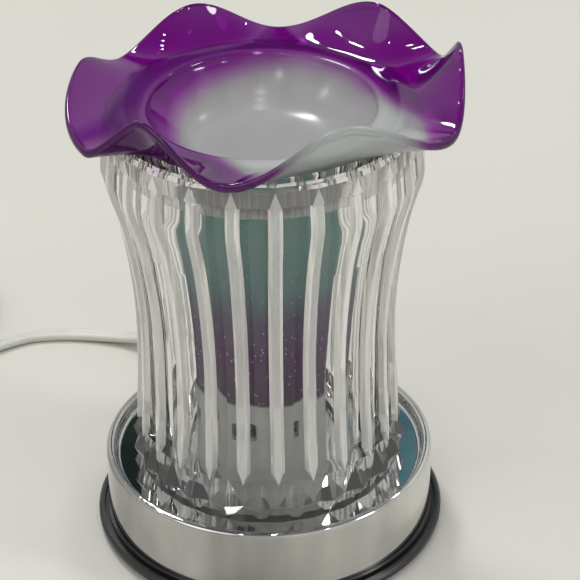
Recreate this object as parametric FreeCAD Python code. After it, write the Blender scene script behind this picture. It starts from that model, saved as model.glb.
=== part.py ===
import FreeCAD, Part
import math
import os

from FreeCAD import Vector

# Electric wax melt warmer: a ruffled glass dish on a ribbed, cut-glass shade, over a
# tinted sleeve and a capsule bulb, on a round chromed base with a black pan and a flat
# white twin cord. Millimetres. The origin is on the table under the middle of the base,
# +Z is up, -Y is the front and the cord leaves at the back.

# Fits shared by all pieces
air = 0.3
overrun = 2.0

# Chromed base cover. Its tray takes the foot of the shade with some play, and the wall
# and rolled rim stand outside the tray.
tray_play = 4.1
tray_margin = 4.5
cover_bottom = 4.8
cover_top = 27.0
cover_sheet = 1.0
roll_radius = 1.5
tray_depth = 3.5
floor_hole_radius = 6.5

# Black base pan and what stands under and in it
pad_height = 1.0
pad_radius = 5.0
pad_inset = 11.5
pad_count = 4
pan_margin = 3.5
pan_rim_top = 4.0
pan_rim_width = 1.8
pan_bevel = 0.8
pan_groove_floor = 3.0
pan_floor = 2.0
pan_wall_top = 7.8
pan_wall = 1.6
post_count = 4
post_radius = 3.5
post_play = 2.0
screw_radius = 1.5
screw_head_radius = 2.9
screw_head_height = 1.6

# Cut-glass shade
shade_height = 120.5
shade_waist_radius = 40.3
shade_belly_radius = 48.5
shade_wall_at_waist = 7.0
shade_wall_at_rim = 7.8
rib_count = 24
rib_height = 1.7
rib_foot_width = 4.2
rib_crest_width = 1.7
rib_turn = 3.75
rib_bottom = 14.0
rib_top = 114.0
foot_point_radius = 43.4
foot_chamfer = 2.4
foot_point_height = 6.5
rim_bevel = 1.5
# Height above the glass foot as a share of the whole, and how far the crests have
# grown there from the waist to the belly of the collar
shade_crest_shares = (
    (0.116, 0.160), (0.170, 0.125), (0.240, 0.060), (0.330, 0.015), (0.452, 0.000),
    (0.560, 0.110), (0.660, 0.305), (0.734, 0.500), (0.793, 0.720), (0.834, 0.900),
    (0.872, 1.000), (0.946, 0.880),
)
# Height as a share of the whole, and how far the bore has grown from waist to rim
shade_bore_shares = ((0.0, 0.04), (0.30, 0.0), (0.50, 0.02), (0.70, 0.38), (0.86, 0.86), (1.0, 1.0))

# Ruffled dish
dish_glass = 2.8
dish_base_radius = 15.0
dish_bowl_depth = 14.0
dish_seat_width = 4.2
wave_count = 6
wave_low_radius = 57.6
wave_high_radius = 55.6
wave_low_rise = 2.2
wave_high_rise = 14.4
wave_turn = 204.0
edge_round = 0.9
# For each wave, how far its low and its crest lean sideways as a share of one wave,
# and how its reach and its rise differ from the common ones: hand-pulled, so uneven
low_lean_shares = (0.12, -0.10, 0.147, 0.013, 0.004, -0.008)
crest_lean_shares = (-0.104, 0.035, 0.098, -0.135, 0.004, -0.13)
low_reach_shares = (1.034, 0.934, 1.065, 1.027, 0.903, 0.933)
crest_reach_shares = (0.919, 0.937, 1.052, 0.954, 0.939, 1.008)
low_rise_shares = (0.86, 0.66, 1.11, 1.45, 0.18, 0.18)
crest_rise_shares = (0.953, 1.065, 1.213, 0.954, 0.727, 0.556)

# Tinted sleeve and the grey cup that it stands on
sleeve_bottom_radius = 21.0
sleeve_top_radius = 25.5
sleeve_glass = 1.6
sleeve_bottom = 53.8
sleeve_head_room = 8.2
cup_radius = 21.4
cup_wall = 1.8
cup_ring_height = 4.0
cup_ring_radius = 15.0
spigot_height = 3.5
vent_count = 8
vent_width = 4.7
vent_height = 6.5
vent_bottom = 40.5
vent_turn = -65.0
cup_screw_count = 3
cup_screw_circle_radius = 18.0
cup_screw_turn = -90.0
washer_thickness = 0.6
washer_radius = 3.0

# Capsule bulb, its socket and the strap that carries it
socket_radius = 8.5
socket_height = 18.0
socket_top = 50.0
pin_spacing = 9.0
pin_radius = 0.8
pin_length = 7.0
pin_leg_gap = 2.2
bulb_base_width = 14.0
bulb_base_thickness = 5.0
bulb_base_height = 12.0
bulb_radius = 7.0
bulb_glass = 0.9
bulb_tube_height = 30.0
filament_radius = 0.5
filament_height = 18.0
filament_spread = 3.2
filament_stretch_count = 4
contact_depth = 9.0
contact_sheet = 0.6
strap_width = 10.0
strap_sheet = 1.2
strap_leg_half_gap = 8.2
strap_foot = 4.4
strap_screw_radius = 1.0
strap_screw_head_radius = 1.7
strap_screw_head_height = 1.0

# Touch dimmer board
board_length = 36.0
board_width = 26.0
board_thickness = 1.6
board_centre_x = 8.0
board_centre_y = -20.0
board_bottom = 8.0
board_pillar_radius = 2.4
board_pillar_inset = 3.4
board_screw_radius = 1.1
film_length = 13.0
film_width = 5.0
film_height = 9.0
can_radius = 3.2
can_height = 9.5
can_collar = 0.8
triac_width = 7.0
triac_depth = 4.0
triac_height = 8.0
triac_tab = 1.2
chip_length = 10.0
chip_width = 6.2
chip_height = 3.2
chip_leg_count = 8
chip_leg_width = 0.5
chip_leg_reach = 1.4
terminal_radius = 1.6
terminal_height = 4.0
# Places on the board as shares of its length and width, from its middle
film_place_shares = (-0.083, -0.285)
can_place_shares = (-0.167, 0.023)
triac_place_shares = (0.236, -0.25)
chip_place_shares = (0.139, 0.062)
terminal_row_shares = (-0.236, 0.369)
terminal_step_share = 0.156
sense_terminal_shares = (-0.378, 0.10)

# Wires inside the base
lead_radius = 0.9

# Mains cord, flat twin
cord_width = 5.4
cord_thickness = 2.7
cord_exit_angle = 110.0
cord_exit_height = 11.0
bushing_length = 24.0
bushing_root_radius = 4.2
bushing_tip_radius = 3.4
bushing_flange_radius = 5.6
bushing_flange = 1.4
bend_share = 0.45
coil_mid_radius = 29.7
coil_gap = 0.6
coil_half_turns_per_layer = 7
coil_centre_x = -143.0
coil_centre_y = 116.0
coil_start_angle = -66.0
cord_lead_out = 15.0
cord_lead_in = 20.0
tail_turn = 35.0
tail_bend_radius = 30.0
tie_sheet = 0.8
tie_width = 9.0
plug_length = 25.0
plug_width = 24.0
plug_thickness = 14.0
plug_round = 3.0
# Along the plug from the cord, then half width and half thickness as shares of the whole
plug_shares = ((0.0, 0.35, 0.45), (0.35, 0.46, 0.80), (0.75, 1.0, 0.97), (1.0, 0.92, 0.94))
blade_length = 17.0
blade_width = 6.4
blade_thickness = 1.5
blade_spacing = 12.7

# Sizes and places that follow from the sizes above
foot_cut_radius = foot_point_radius - foot_chamfer
tray_radius = foot_point_radius + tray_play
cover_radius = tray_radius + tray_margin
pan_radius = cover_radius + pan_margin
pan_ledge_radius = cover_radius + 2 * air
pad_circle_radius = pan_radius - pad_inset
post_circle_radius = cover_radius - cover_sheet - air - pan_wall - post_play - post_radius
floor_top = cover_top - tray_depth
floor_under = floor_top - cover_sheet
shade_bottom = floor_top
shade_top = shade_bottom + shade_height
sleeve_height = shade_top - dish_bowl_depth - sleeve_head_room - sleeve_bottom
pan_floor_top = pad_height + pan_floor
front = -90.0


def polar(radius, degrees, z=0.0):
    turn = math.radians(degrees)
    return Vector(radius * math.cos(turn), radius * math.sin(turn), z)


def disc(radius, bottom, height, centre=Vector(0, 0, 0)):
    return Part.makeCylinder(radius, height, Vector(centre.x, centre.y, bottom))


def ring(outer, inner, bottom, height, centre=Vector(0, 0, 0)):
    hole = disc(inner, bottom - overrun, height + 2 * overrun, centre)
    return disc(outer, bottom, height, centre).cut(hole)


def around(centre, radius, count, turn):
    step = 360.0 / count
    return [centre + polar(radius, turn + step * k) for k in range(count)]


def spin(edges):
    face = Part.Face(Part.Wire(edges))
    return face.revolve(Vector(0, 0, 0), Vector(0, 0, 1), 360)


def outline(points):
    return [Part.LineSegment(a, b).toShape() for a, b in zip(points, points[1:])]


def at(radius, z):
    return Vector(radius, 0, z)


def quarter(start, end, centre):
    # Arc of a quarter turn in the XZ plane, from start to end about centre
    radius = (start - centre).Length
    middle = (start + end).multiply(0.5).sub(centre)
    middle.normalize()
    return Part.Arc(start, centre + middle.multiply(radius), end).toShape()


def block(length, width, height, centre, bottom):
    corner = Vector(centre.x - length / 2, centre.y - width / 2, bottom)
    return Part.makeBox(length, width, height, corner)


def group(solids):
    return solids[0] if len(solids) == 1 else Part.makeCompound(solids)


def screw(place, seat, length, radius, head_radius, head_height, upward):
    # Pan-head screw whose head lies on the far side of seat from its shank
    way = 1 if upward else -1
    low = min(seat, seat + way * length)
    shank = disc(radius, low, length, place)
    head_low = seat - head_height if upward else seat
    return shank.fuse(disc(head_radius, head_low, head_height, place)).removeSplitter()


def rounded_route(points, label):
    # Straight runs joined by tangent arcs as large as their runs allow
    edges = []
    last = points[0]
    radii = []
    for before, corner, after in zip(points, points[1:], points[2:]):
        back = before - corner
        ahead = after - corner
        turn = math.pi - back.getAngle(ahead)
        reach = bend_share * min(back.Length, ahead.Length)
        radii.append(reach / math.tan(turn / 2))
        start = corner + Vector(back).normalize() * reach
        end = corner + Vector(ahead).normalize() * reach
        bisector = (Vector(back).normalize() + Vector(ahead).normalize()).normalize()
        sagitta_point = corner + bisector * (radii[-1] / math.cos(turn / 2) - radii[-1])
        edges.append(Part.LineSegment(last, start).toShape())
        edges.append(Part.Arc(start, sagitta_point, end).toShape())
        last = end
    edges.append(Part.LineSegment(last, points[-1]).toShape())
    print(label, "bend radii", [round(r, 1) for r in radii])
    return Part.Wire(edges)


def sweep(path, section, area, label, level=False):
    pipe = Part.BRepOffsetAPI.MakePipeShell(path)
    if level:
        pipe.setBiNormalMode(Vector(0, 0, 1))
    pipe.add(section)
    pipe.build()
    pipe.makeSolid()
    solid = pipe.shape()
    print(label, "length", round(path.Length, 1), "volume over section times length",
          round(solid.Volume / (area * path.Length), 4))
    return solid


def round_lead(points, label):
    path = rounded_route(points, label)
    way = (points[1] - points[0]).normalize()
    section = Part.Wire([Part.Circle(points[0], way, lead_radius).toShape()])
    return sweep(path, section, math.pi * lead_radius ** 2, label)


def make_base_cover():
    # One spun sheet: side wall, rolled rim, tray wall, tray floor
    shoulder = cover_top - roll_radius
    under_roll = roll_radius - cover_sheet
    roll_middle = cover_radius - roll_radius
    tray_wall = roll_middle - roll_radius
    bend = tray_wall - tray_radius
    floor_bend = floor_top + bend
    outer_wall = at(cover_radius, shoulder)
    outer_peak = at(roll_middle, cover_top)
    outer_drop = at(tray_wall, shoulder)
    inner_drop = at(tray_wall + cover_sheet, shoulder)
    inner_peak = at(roll_middle, cover_top - cover_sheet)
    inner_wall = at(cover_radius - cover_sheet, shoulder)
    profile = [
        Part.LineSegment(at(cover_radius, cover_bottom), outer_wall).toShape(),
        quarter(outer_wall, outer_peak, at(roll_middle, shoulder)),
        quarter(outer_peak, outer_drop, at(roll_middle, shoulder)),
    ]
    bend_start = at(tray_wall, floor_bend)
    if (outer_drop - bend_start).Length > air:
        profile.append(Part.LineSegment(outer_drop, bend_start).toShape())
    bend_middle = at(tray_radius, floor_bend)
    bend_end = at(tray_radius, floor_top)
    profile.append(quarter(bend_start, bend_end, bend_middle))
    hole = [bend_end, at(floor_hole_radius, floor_top), at(floor_hole_radius, floor_under),
            at(tray_radius, floor_under)]
    profile += outline(hole)
    under_bend = at(tray_wall + cover_sheet, floor_bend)
    profile.append(quarter(hole[-1], under_bend, bend_middle))
    if (under_bend - inner_drop).Length > air:
        profile.append(Part.LineSegment(under_bend, inner_drop).toShape())
    if under_roll > 0:
        profile.append(quarter(inner_drop, inner_peak, at(roll_middle, shoulder)))
        profile.append(quarter(inner_peak, inner_wall, at(roll_middle, shoulder)))
    profile += outline([inner_wall, at(cover_radius - cover_sheet, cover_bottom),
                        at(cover_radius, cover_bottom)])
    cover = spin(profile)
    holes = [disc(screw_radius + air, floor_under - overrun, cover_sheet + 2 * overrun, p)
             for p in cup_screw_places()]
    holes += [disc(strap_screw_radius, floor_under - overrun, cover_sheet + 2 * overrun, p)
              for p in strap_screw_places()]
    holes.append(bushing_rod(bushing_root_radius, cover_radius - 2 * overrun, cover_radius + overrun))
    return cover.cut(Part.makeCompound(holes))


def make_base_posts():
    # Threaded posts fixed under the tray floor, which take the screws of the pan
    posts = []
    for place in post_places():
        post = disc(post_radius, pan_floor_top, floor_under - pan_floor_top, place)
        bore = disc(screw_radius, pan_floor_top - overrun, screw_grip() + overrun, place)
        posts.append(post.cut(bore))
    return group(posts)


def post_places():
    # Half a step round from the cord, so that no post stands in its way
    return around(Vector(0, 0, 0), post_circle_radius, post_count, cord_exit_angle + 180 / post_count)


def screw_grip():
    return 4 * screw_radius


def make_base_pan():
    # Moulded pan: stepped flange outside the cover, wall inside it, bored floor
    wall_radius = cover_radius - cover_sheet - air
    rim_inner = pan_radius - pan_rim_width
    profile = outline([
        at(0, pad_height), at(pan_radius - pan_bevel, pad_height),
        at(pan_radius, pad_height + pan_bevel), at(pan_radius, pan_rim_top - pan_bevel),
        at(pan_radius - pan_bevel, pan_rim_top), at(rim_inner, pan_rim_top),
        at(rim_inner, pan_groove_floor), at(pan_ledge_radius, pan_groove_floor),
        at(pan_ledge_radius, cover_bottom), at(wall_radius, cover_bottom),
        at(wall_radius, pan_wall_top), at(wall_radius - pan_wall, pan_wall_top),
        at(wall_radius - pan_wall, pan_floor_top), at(0, pan_floor_top), at(0, pad_height),
    ])
    pan = spin(profile)
    pillars = [disc(board_pillar_radius, pan_floor_top, board_bottom - pan_floor_top, p)
               for p in board_pillar_places()]
    pan = pan.fuse(pillars)
    cuts = [disc(screw_radius + air, pad_height - overrun, pan_floor + 2 * overrun, p)
            for p in post_places()]
    cuts += [disc(board_screw_radius, pan_floor_top, board_bottom, p)
             for p in board_pillar_places()]
    cuts += [disc(screw_head_radius + air, pad_height - overrun, overrun + screw_recess(), p)
             for p in post_places()]
    cuts.append(bushing_rod(bushing_flange_radius + air, post_circle_radius, cover_radius - cover_sheet))
    return pan.cut(Part.makeCompound(cuts)).removeSplitter()


def screw_recess():
    return pan_floor / 2


def make_pan_screws():
    length = pan_floor - screw_recess() + screw_grip()
    return group([screw(p, pad_height + screw_recess(), length, screw_radius,
                        screw_head_radius, screw_recess(), True) for p in post_places()])


def make_foot_pads():
    return group([disc(pad_radius, 0, pad_height, p)
                  for p in around(Vector(0, 0, 0), pad_circle_radius, pad_count, cord_exit_angle)])


def crest_radius(share):
    low = shade_waist_radius
    return low + (shade_belly_radius - low) * share


def shade_section(height, crest, rise, foot_half, crest_half):
    # Closed outline at one height: flat panels between ribs of keystone section
    corners = []
    z = shade_bottom + height
    for k in range(rib_count):
        turn = front + rib_turn + 360.0 * k / rib_count
        out = polar(1, turn)
        side = polar(1, turn + 90)
        foot = out * (crest - rise)
        top = out * crest
        lift = Vector(0, 0, z)
        corners += [foot - side * foot_half + lift, top - side * crest_half + lift,
                    top + side * crest_half + lift, foot + side * foot_half + lift]
    return Part.makePolygon(corners + corners[:1])


def make_ribbed_body():
    # The ribs run into the collar above and the cut foot below, narrowing to a point
    span = rib_top - rib_bottom
    fade = span / 9
    sections = []
    for height_share, crest_share in shade_crest_shares:
        height = shade_height * height_share
        nearest_end = min(height - rib_bottom, rib_top - height)
        full = max(min(nearest_end / fade, 1), 1 / 12)
        sections.append(shade_section(height, crest_radius(crest_share), rib_height * full,
                                      rib_foot_width / 2 * full, rib_crest_width / 2 * full))
    return Part.makeLoft(sections, True, False)


def cut_ring(radius, height, half_step):
    step = 360.0 / rib_count
    turn = front + rib_turn + (step / 2 if half_step else 0)
    z = shade_bottom + height
    return [polar(radius, turn + step * k, z) for k in range(rib_count)]


def facet_band(rings):
    # Triangles between rings whose points stand half a step apart, and two flat ends
    faces = []
    for index, (lower, upper) in enumerate(zip(rings, rings[1:])):
        count = len(lower)
        ahead = 1 if index % 2 == 0 else 0
        for k in range(count):
            n = (k + 1) % count
            if ahead:
                faces.append(Part.Face(Part.makePolygon([lower[k], lower[n], upper[k], lower[k]])))
                faces.append(Part.Face(Part.makePolygon([upper[k], lower[n], upper[n], upper[k]])))
            else:
                faces.append(Part.Face(Part.makePolygon([lower[k], upper[n], upper[k], lower[k]])))
                faces.append(Part.Face(Part.makePolygon([lower[k], lower[n], upper[n], lower[k]])))
    for loop in (rings[0], rings[-1]):
        faces.append(Part.Face(Part.makePolygon(loop + loop[:1])))
    shell = Part.makeShell(faces)
    shell.sewShape()
    solid = Part.makeSolid(shell)
    if solid.Volume < 0:
        solid.reverse()
    return solid


def make_cut_foot():
    # Diamond facets: three rings of points, each half a step round from the last
    top_height = shade_height * shade_crest_shares[0][0]
    top_radius = crest_radius(shade_crest_shares[0][1]) - rib_height / 24
    rings = [cut_ring(foot_cut_radius, 0, False),
             cut_ring(foot_point_radius, foot_point_height, True),
             cut_ring(top_radius, top_height, False)]
    return facet_band(rings)


def make_collar():
    # Plain faceted band above the ribs, bevelled in to the flat rim
    low_height = shade_height * shade_crest_shares[-1][0]
    low_radius = crest_radius(shade_crest_shares[-1][1])
    slope = rim_bevel / 2
    radii = [low_radius, low_radius - slope, low_radius - slope - rim_bevel]
    heights = [low_height, shade_height - rim_bevel, shade_height]
    wires = []
    for radius, height in zip(radii, heights):
        loop = cut_ring(radius, height, False)
        wires.append(Part.makePolygon(loop + loop[:1]))
    return Part.makeLoft(wires, True, True)


def bore_radius(grow_share):
    waist = shade_waist_radius - shade_wall_at_waist
    rim = crest_radius(shade_crest_shares[-1][1]) - rim_bevel * 1.5 - shade_wall_at_rim
    return waist + (rim - waist) * grow_share


def make_bore():
    line = [at(bore_radius(grow), shade_bottom + shade_height * share)
            for share, grow in shade_bore_shares]
    curve = Part.BSplineCurve()
    curve.interpolate(line)
    low = line[0] - Vector(0, 0, overrun)
    high = line[-1] + Vector(0, 0, overrun)
    edges = [curve.toShape()]
    edges += outline([line[-1], high, at(0, high.z), at(0, low.z), low, line[0]])
    return spin(edges)


def make_glass_shade():
    body = make_ribbed_body().fuse([make_cut_foot(), make_collar()])
    return body.cut(make_bore()).removeSplitter()


def dish_seat_radius():
    return bore_radius(1) - 2 * air


def wave_stations():
    # Turning points of the rim: angle, reach and rise, low and crest by turns
    step = 360.0 / wave_count
    stations = []
    for k in range(wave_count):
        low_angle = wave_turn + step * (k + low_lean_shares[k])
        crest_angle = wave_turn + step * (k + 0.5 + crest_lean_shares[k])
        stations.append((low_angle, wave_low_radius * low_reach_shares[k],
                         wave_low_rise * low_rise_shares[k]))
        stations.append((crest_angle, wave_high_radius * crest_reach_shares[k],
                         wave_high_rise * crest_rise_shares[k]))
    first = stations[0]
    stations.append((first[0] + 360, first[1], first[2]))
    return stations


def rim_at(degrees):
    # Reach and rise of the rim at an angle, easing between its turning points
    stations = wave_stations()
    angle = stations[0][0] + (degrees - stations[0][0]) % 360
    for (a, reach_a, rise_a), (b, reach_b, rise_b) in zip(stations, stations[1:]):
        if a <= angle <= b:
            ease = (1 - math.cos(math.pi * (angle - a) / (b - a))) / 2
            return reach_a + (reach_b - reach_a) * ease, rise_a + (rise_b - rise_a) * ease
    return stations[0][1], stations[0][2]


def dish_ring(out_share, base_radius, base_z, thickness_up, trim):
    # Closed wavy curve: out_share 0 is the seat circle and 1 is the rim
    count = 8 * wave_count
    points = []
    for k in range(count):
        degrees = 360.0 * k / count
        reach, rise = rim_at(degrees)
        radius = base_radius + (reach - trim - base_radius) * out_share
        z = base_z + rise * out_share ** 1.5 + thickness_up
        points.append(polar(radius, degrees, z))
    curve = Part.BSplineCurve()
    curve.interpolate(Points=points, PeriodicFlag=True)
    return Part.Wire([curve.toShape()])


def circle_wire(radius, z):
    return Part.Wire([Part.Circle(Vector(0, 0, z), Vector(0, 0, 1), radius).toShape()])


def make_dish():
    seat_in = dish_seat_radius()
    seat_out = seat_in + dish_seat_width
    seat_z = shade_top
    flare_shares = (0.0, 0.3, 0.6, 0.85, 1.0)
    under = [dish_ring(s, seat_out, seat_z, 0, edge_round * s) for s in flare_shares]
    over = [dish_ring(s, seat_out - dish_glass / 3, seat_z, dish_glass, edge_round * s)
            for s in flare_shares]
    nose = dish_ring(1.0, seat_out, seat_z, dish_glass / 2, 0)
    faces = list(Part.makeLoft(under, False, False).Faces)
    faces += Part.makeLoft(over, False, False).Faces
    faces += Part.makeLoft([under[-1], nose, over[-1]], False, False).Faces
    faces += Part.Face(under[0]).cut(Part.Face(circle_wire(seat_in, seat_z))).Faces
    bowl_inner = seat_in - dish_glass
    lip = circle_wire(bowl_inner + dish_glass / 4, seat_z + dish_glass * 3 / 4)
    faces += bowl_faces(seat_in, seat_z, [circle_wire(seat_in, seat_z)])
    faces += bowl_faces(bowl_inner, seat_z + dish_glass, [lip, over[0]])
    shell = Part.makeShell(faces)
    shell.sewShape()
    solid = Part.makeSolid(shell)
    if solid.Volume < 0:
        solid.reverse()
    return solid


def bowl_faces(side_radius, mouth_z, mouth_wires):
    # Flat middle and curved side of the bowl, from the middle outward and up
    bottom_z = mouth_z - dish_bowl_depth
    bowl_shares = ((0.0, 0.0), (0.34, 0.05), (0.66, 0.26), (0.88, 0.62))
    rings = [circle_wire(dish_base_radius + (side_radius - dish_base_radius) * out,
                         bottom_z + dish_bowl_depth * up) for out, up in bowl_shares]
    side = Part.makeLoft(rings + mouth_wires, False, False)
    return list(side.Faces) + [Part.Face(rings[0])]


def make_colour_sleeve():
    inner_low = sleeve_bottom_radius - sleeve_glass
    inner_top = sleeve_top_radius - sleeve_glass
    top = sleeve_bottom + sleeve_height
    lip = sleeve_glass / 2
    profile = outline([
        at(inner_low, sleeve_bottom), at(sleeve_bottom_radius, sleeve_bottom),
        at(sleeve_top_radius, top - lip)])
    peak = at(sleeve_top_radius - lip, top)
    profile.append(quarter(at(sleeve_top_radius, top - lip), peak, at(sleeve_top_radius - lip, top - lip)))
    profile.append(quarter(peak, at(inner_top, top - lip), at(sleeve_top_radius - lip, top - lip)))
    profile += outline([at(inner_top, top - lip), at(inner_low, sleeve_bottom)])
    return spin(profile)


def make_lamp_cup():
    # Base ring, side wall with vents, ledge for the sleeve and a spigot inside it
    spigot = sleeve_bottom_radius - sleeve_glass - air
    inner = cup_radius - cup_wall
    spigot_inner = spigot - cup_wall
    profile = outline([
        at(cup_ring_radius, floor_top), at(cup_radius, floor_top), at(cup_radius, sleeve_bottom),
        at(spigot, sleeve_bottom), at(spigot, sleeve_bottom + spigot_height),
        at(spigot_inner, sleeve_bottom + spigot_height), at(spigot_inner, sleeve_bottom - cup_wall),
        at(inner, sleeve_bottom - 2 * cup_wall), at(inner, floor_top + cup_ring_height),
        at(cup_ring_radius, floor_top + cup_ring_height), at(cup_ring_radius, floor_top)])
    cup = spin(profile)
    cuts = []
    slot = Part.makeBox(cup_radius, vent_width, vent_height,
                        Vector(cup_ring_radius, -vent_width / 2, vent_bottom))
    slot = slot.makeFillet(vent_width / 4, [e for e in slot.Edges if along_x(e)])
    for k in range(vent_count):
        turned = slot.copy()
        turned.rotate(Vector(0, 0, 0), Vector(0, 0, 1), vent_turn + 360.0 * k / vent_count)
        cuts.append(turned)
    cuts += [disc(screw_radius, floor_top - overrun, overrun + cup_ring_height, p)
             for p in cup_screw_places()]
    return cup.cut(Part.makeCompound(cuts))


def along_x(edge):
    way = edge.tangentAt(edge.FirstParameter)
    return abs(way.x) > 0.9


def cup_screw_places():
    return around(Vector(0, 0, 0), cup_screw_circle_radius, cup_screw_count, cup_screw_turn)


def make_cup_screws():
    seat = floor_under - washer_thickness
    length = washer_thickness + cover_sheet + cup_ring_height
    return group([screw(p, seat, length, screw_radius, screw_head_radius, screw_head_height, True)
                  for p in cup_screw_places()])


def make_cup_washers():
    # Every cup screw but the first, which holds the sensing wire's ring, has one
    return group([ring(washer_radius, screw_radius + air / 3, floor_under - washer_thickness,
                       washer_thickness, p) for p in cup_screw_places()[1:]])


def strap_screw_places():
    reach = strap_leg_half_gap + strap_sheet + strap_foot / 2
    return [Vector(-reach, 0, 0), Vector(reach, 0, 0)]


def socket_bottom():
    return socket_top - socket_height


def make_socket_bracket():
    # Bent strap: two feet on the tray floor, two legs and a table under the socket
    outer = strap_leg_half_gap + strap_sheet
    top = socket_bottom()
    points = [
        Vector(-outer - strap_foot, 0, floor_top), Vector(-strap_leg_half_gap, 0, floor_top),
        Vector(-strap_leg_half_gap, 0, top - strap_sheet), Vector(strap_leg_half_gap, 0, top - strap_sheet),
        Vector(strap_leg_half_gap, 0, floor_top), Vector(outer + strap_foot, 0, floor_top),
        Vector(outer + strap_foot, 0, floor_top + strap_sheet), Vector(outer, 0, floor_top + strap_sheet),
        Vector(outer, 0, top), Vector(-outer, 0, top),
        Vector(-outer, 0, floor_top + strap_sheet), Vector(-outer - strap_foot, 0, floor_top + strap_sheet)]
    face = Part.Face(Part.makePolygon(points + points[:1]))
    strap = face.extrude(Vector(0, strap_width, 0))
    strap.translate(Vector(0, -strap_width / 2, 0))
    holes = [disc(strap_screw_radius + air / 3, floor_top - overrun, strap_sheet + 2 * overrun, p)
             for p in strap_screw_places()]
    holes += [disc(lead_radius + air, top - strap_sheet - overrun, strap_sheet + 2 * overrun, p)
              for p in lead_places()]
    return strap.cut(Part.makeCompound(holes))


def make_bracket_screws():
    length = strap_sheet + 2 * cover_sheet
    return group([screw(p, floor_top + strap_sheet, length, strap_screw_radius,
                        strap_screw_head_radius, strap_screw_head_height, False)
                  for p in strap_screw_places()])


def lead_places():
    return [Vector(-pin_spacing / 2, 0, 0), Vector(pin_spacing / 2, 0, 0)]


def make_lamp_socket():
    # Ceramic body with two pockets for the loops and two bores for the leads
    body = disc(socket_radius, socket_bottom(), socket_height)
    body = body.makeFillet(socket_radius / 10, [body.Edges[0]])
    cuts = []
    for place in lead_places():
        cuts.append(block(2 * contact_half(), contact_width(), contact_depth + overrun, place,
                          socket_top - contact_depth))
        cuts.append(disc(lead_radius, socket_bottom() - overrun,
                         socket_height - contact_depth + overrun, place))
    return body.cut(Part.makeCompound(cuts))


def contact_half():
    return pin_radius + contact_sheet


def contact_width():
    return pin_leg_gap + 4 * pin_radius + air + 2 * contact_sheet


def make_socket_contacts():
    # Spring clips lining each pocket, open at the top, on which the pins bear
    clips = []
    width = contact_width()
    for place in lead_places():
        outer = block(2 * contact_half(), width, contact_depth - contact_sheet, place,
                      socket_top - contact_depth)
        inner = block(2 * contact_half() + overrun, width - 2 * contact_sheet, contact_depth,
                      place, socket_top - contact_depth + contact_sheet)
        clips.append(outer.cut(inner))
    return group(clips)


def bulb_base_bottom():
    return socket_top + air


def make_bulb_pins():
    # Each pin is a narrow wire loop that hangs from the pressed glass base
    pins = []
    half = pin_leg_gap / 2 + pin_radius
    top = bulb_base_bottom()
    for place in lead_places():
        centre = place + Vector(0, 0, top - pin_length + half)
        arch = Part.Arc(centre - Vector(0, half, 0), centre - Vector(0, 0, half), centre + Vector(0, half, 0))
        left = Part.LineSegment(Vector(place.x, -half, top), centre - Vector(0, half, 0))
        right = Part.LineSegment(centre + Vector(0, half, 0), Vector(place.x, half, top))
        path = Part.Wire([left.toShape(), arch.toShape(), right.toShape()])
        section = Part.Wire([Part.Circle(Vector(place.x, -half, top), Vector(0, 0, 1), pin_radius).toShape()])
        pipe = Part.BRepOffsetAPI.MakePipeShell(path)
        pipe.add(section)
        pipe.build()
        pipe.makeSolid()
        pins.append(pipe.shape())
    return group(pins)


def make_bulb_envelope():
    # Pressed base block, shoulder and a hollow round-nosed tube in one piece of glass
    base = block(bulb_base_width, bulb_base_thickness, bulb_base_height, Vector(0, 0, 0), bulb_base_bottom())
    low = bulb_base_bottom() + bulb_base_height - bulb_glass
    tube = capsule(bulb_radius, low, bulb_tube_height)
    hollow = capsule(bulb_radius - bulb_glass, low + bulb_glass, bulb_tube_height - 2 * bulb_glass)
    return base.fuse(tube).cut(hollow).removeSplitter()


def capsule(radius, bottom, height):
    nose = Part.makeSphere(radius, Vector(0, 0, bottom + height - radius))
    return disc(radius, bottom, height - radius).fuse(nose).removeSplitter()


def make_bulb_filament():
    # Zigzag of fine coil between the two pins' supports
    bottom = bulb_base_bottom() + bulb_base_height
    solids = []
    count = filament_stretch_count
    xs = [filament_spread * (2 * k / count - 1) for k in range(count + 1)]
    zs = [bottom + (filament_height if k % 2 else filament_radius) for k in range(count + 1)]
    for k in range(count):
        start = Vector(xs[k], 0, zs[k])
        end = Vector(xs[k + 1], 0, zs[k + 1])
        rod = Part.makeCylinder(filament_radius, (end - start).Length, start, end - start)
        solids += [rod, Part.makeSphere(filament_radius, end)]
    solids.append(Part.makeSphere(filament_radius, Vector(xs[0], 0, zs[0])))
    return solids[0].fuse(solids[1:])


def board_centre():
    return Vector(board_centre_x, board_centre_y, 0)


def board_top():
    return board_bottom + board_thickness


def board_pillar_places():
    half_x = board_length / 2 - board_pillar_inset
    half_y = board_width / 2 - board_pillar_inset
    return [board_centre() + Vector(x, y, 0) for x in (-half_x, half_x) for y in (-half_y, half_y)]


def make_touch_board():
    board = block(board_length, board_width, board_thickness, board_centre(), board_bottom)
    holes = [disc(board_screw_radius + air, board_bottom - overrun, board_thickness + 2 * overrun, p)
             for p in board_pillar_places()]
    return board.cut(Part.makeCompound(holes))


def make_board_screws():
    return group([screw(p, board_top(), board_thickness + board_bottom - pan_floor_top,
                        board_screw_radius, 1.7 * board_screw_radius, board_screw_radius, False)
                  for p in board_pillar_places()])


def board_place(shares):
    along, across = shares
    return board_centre() + Vector(along * board_length, across * board_width, 0)


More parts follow.
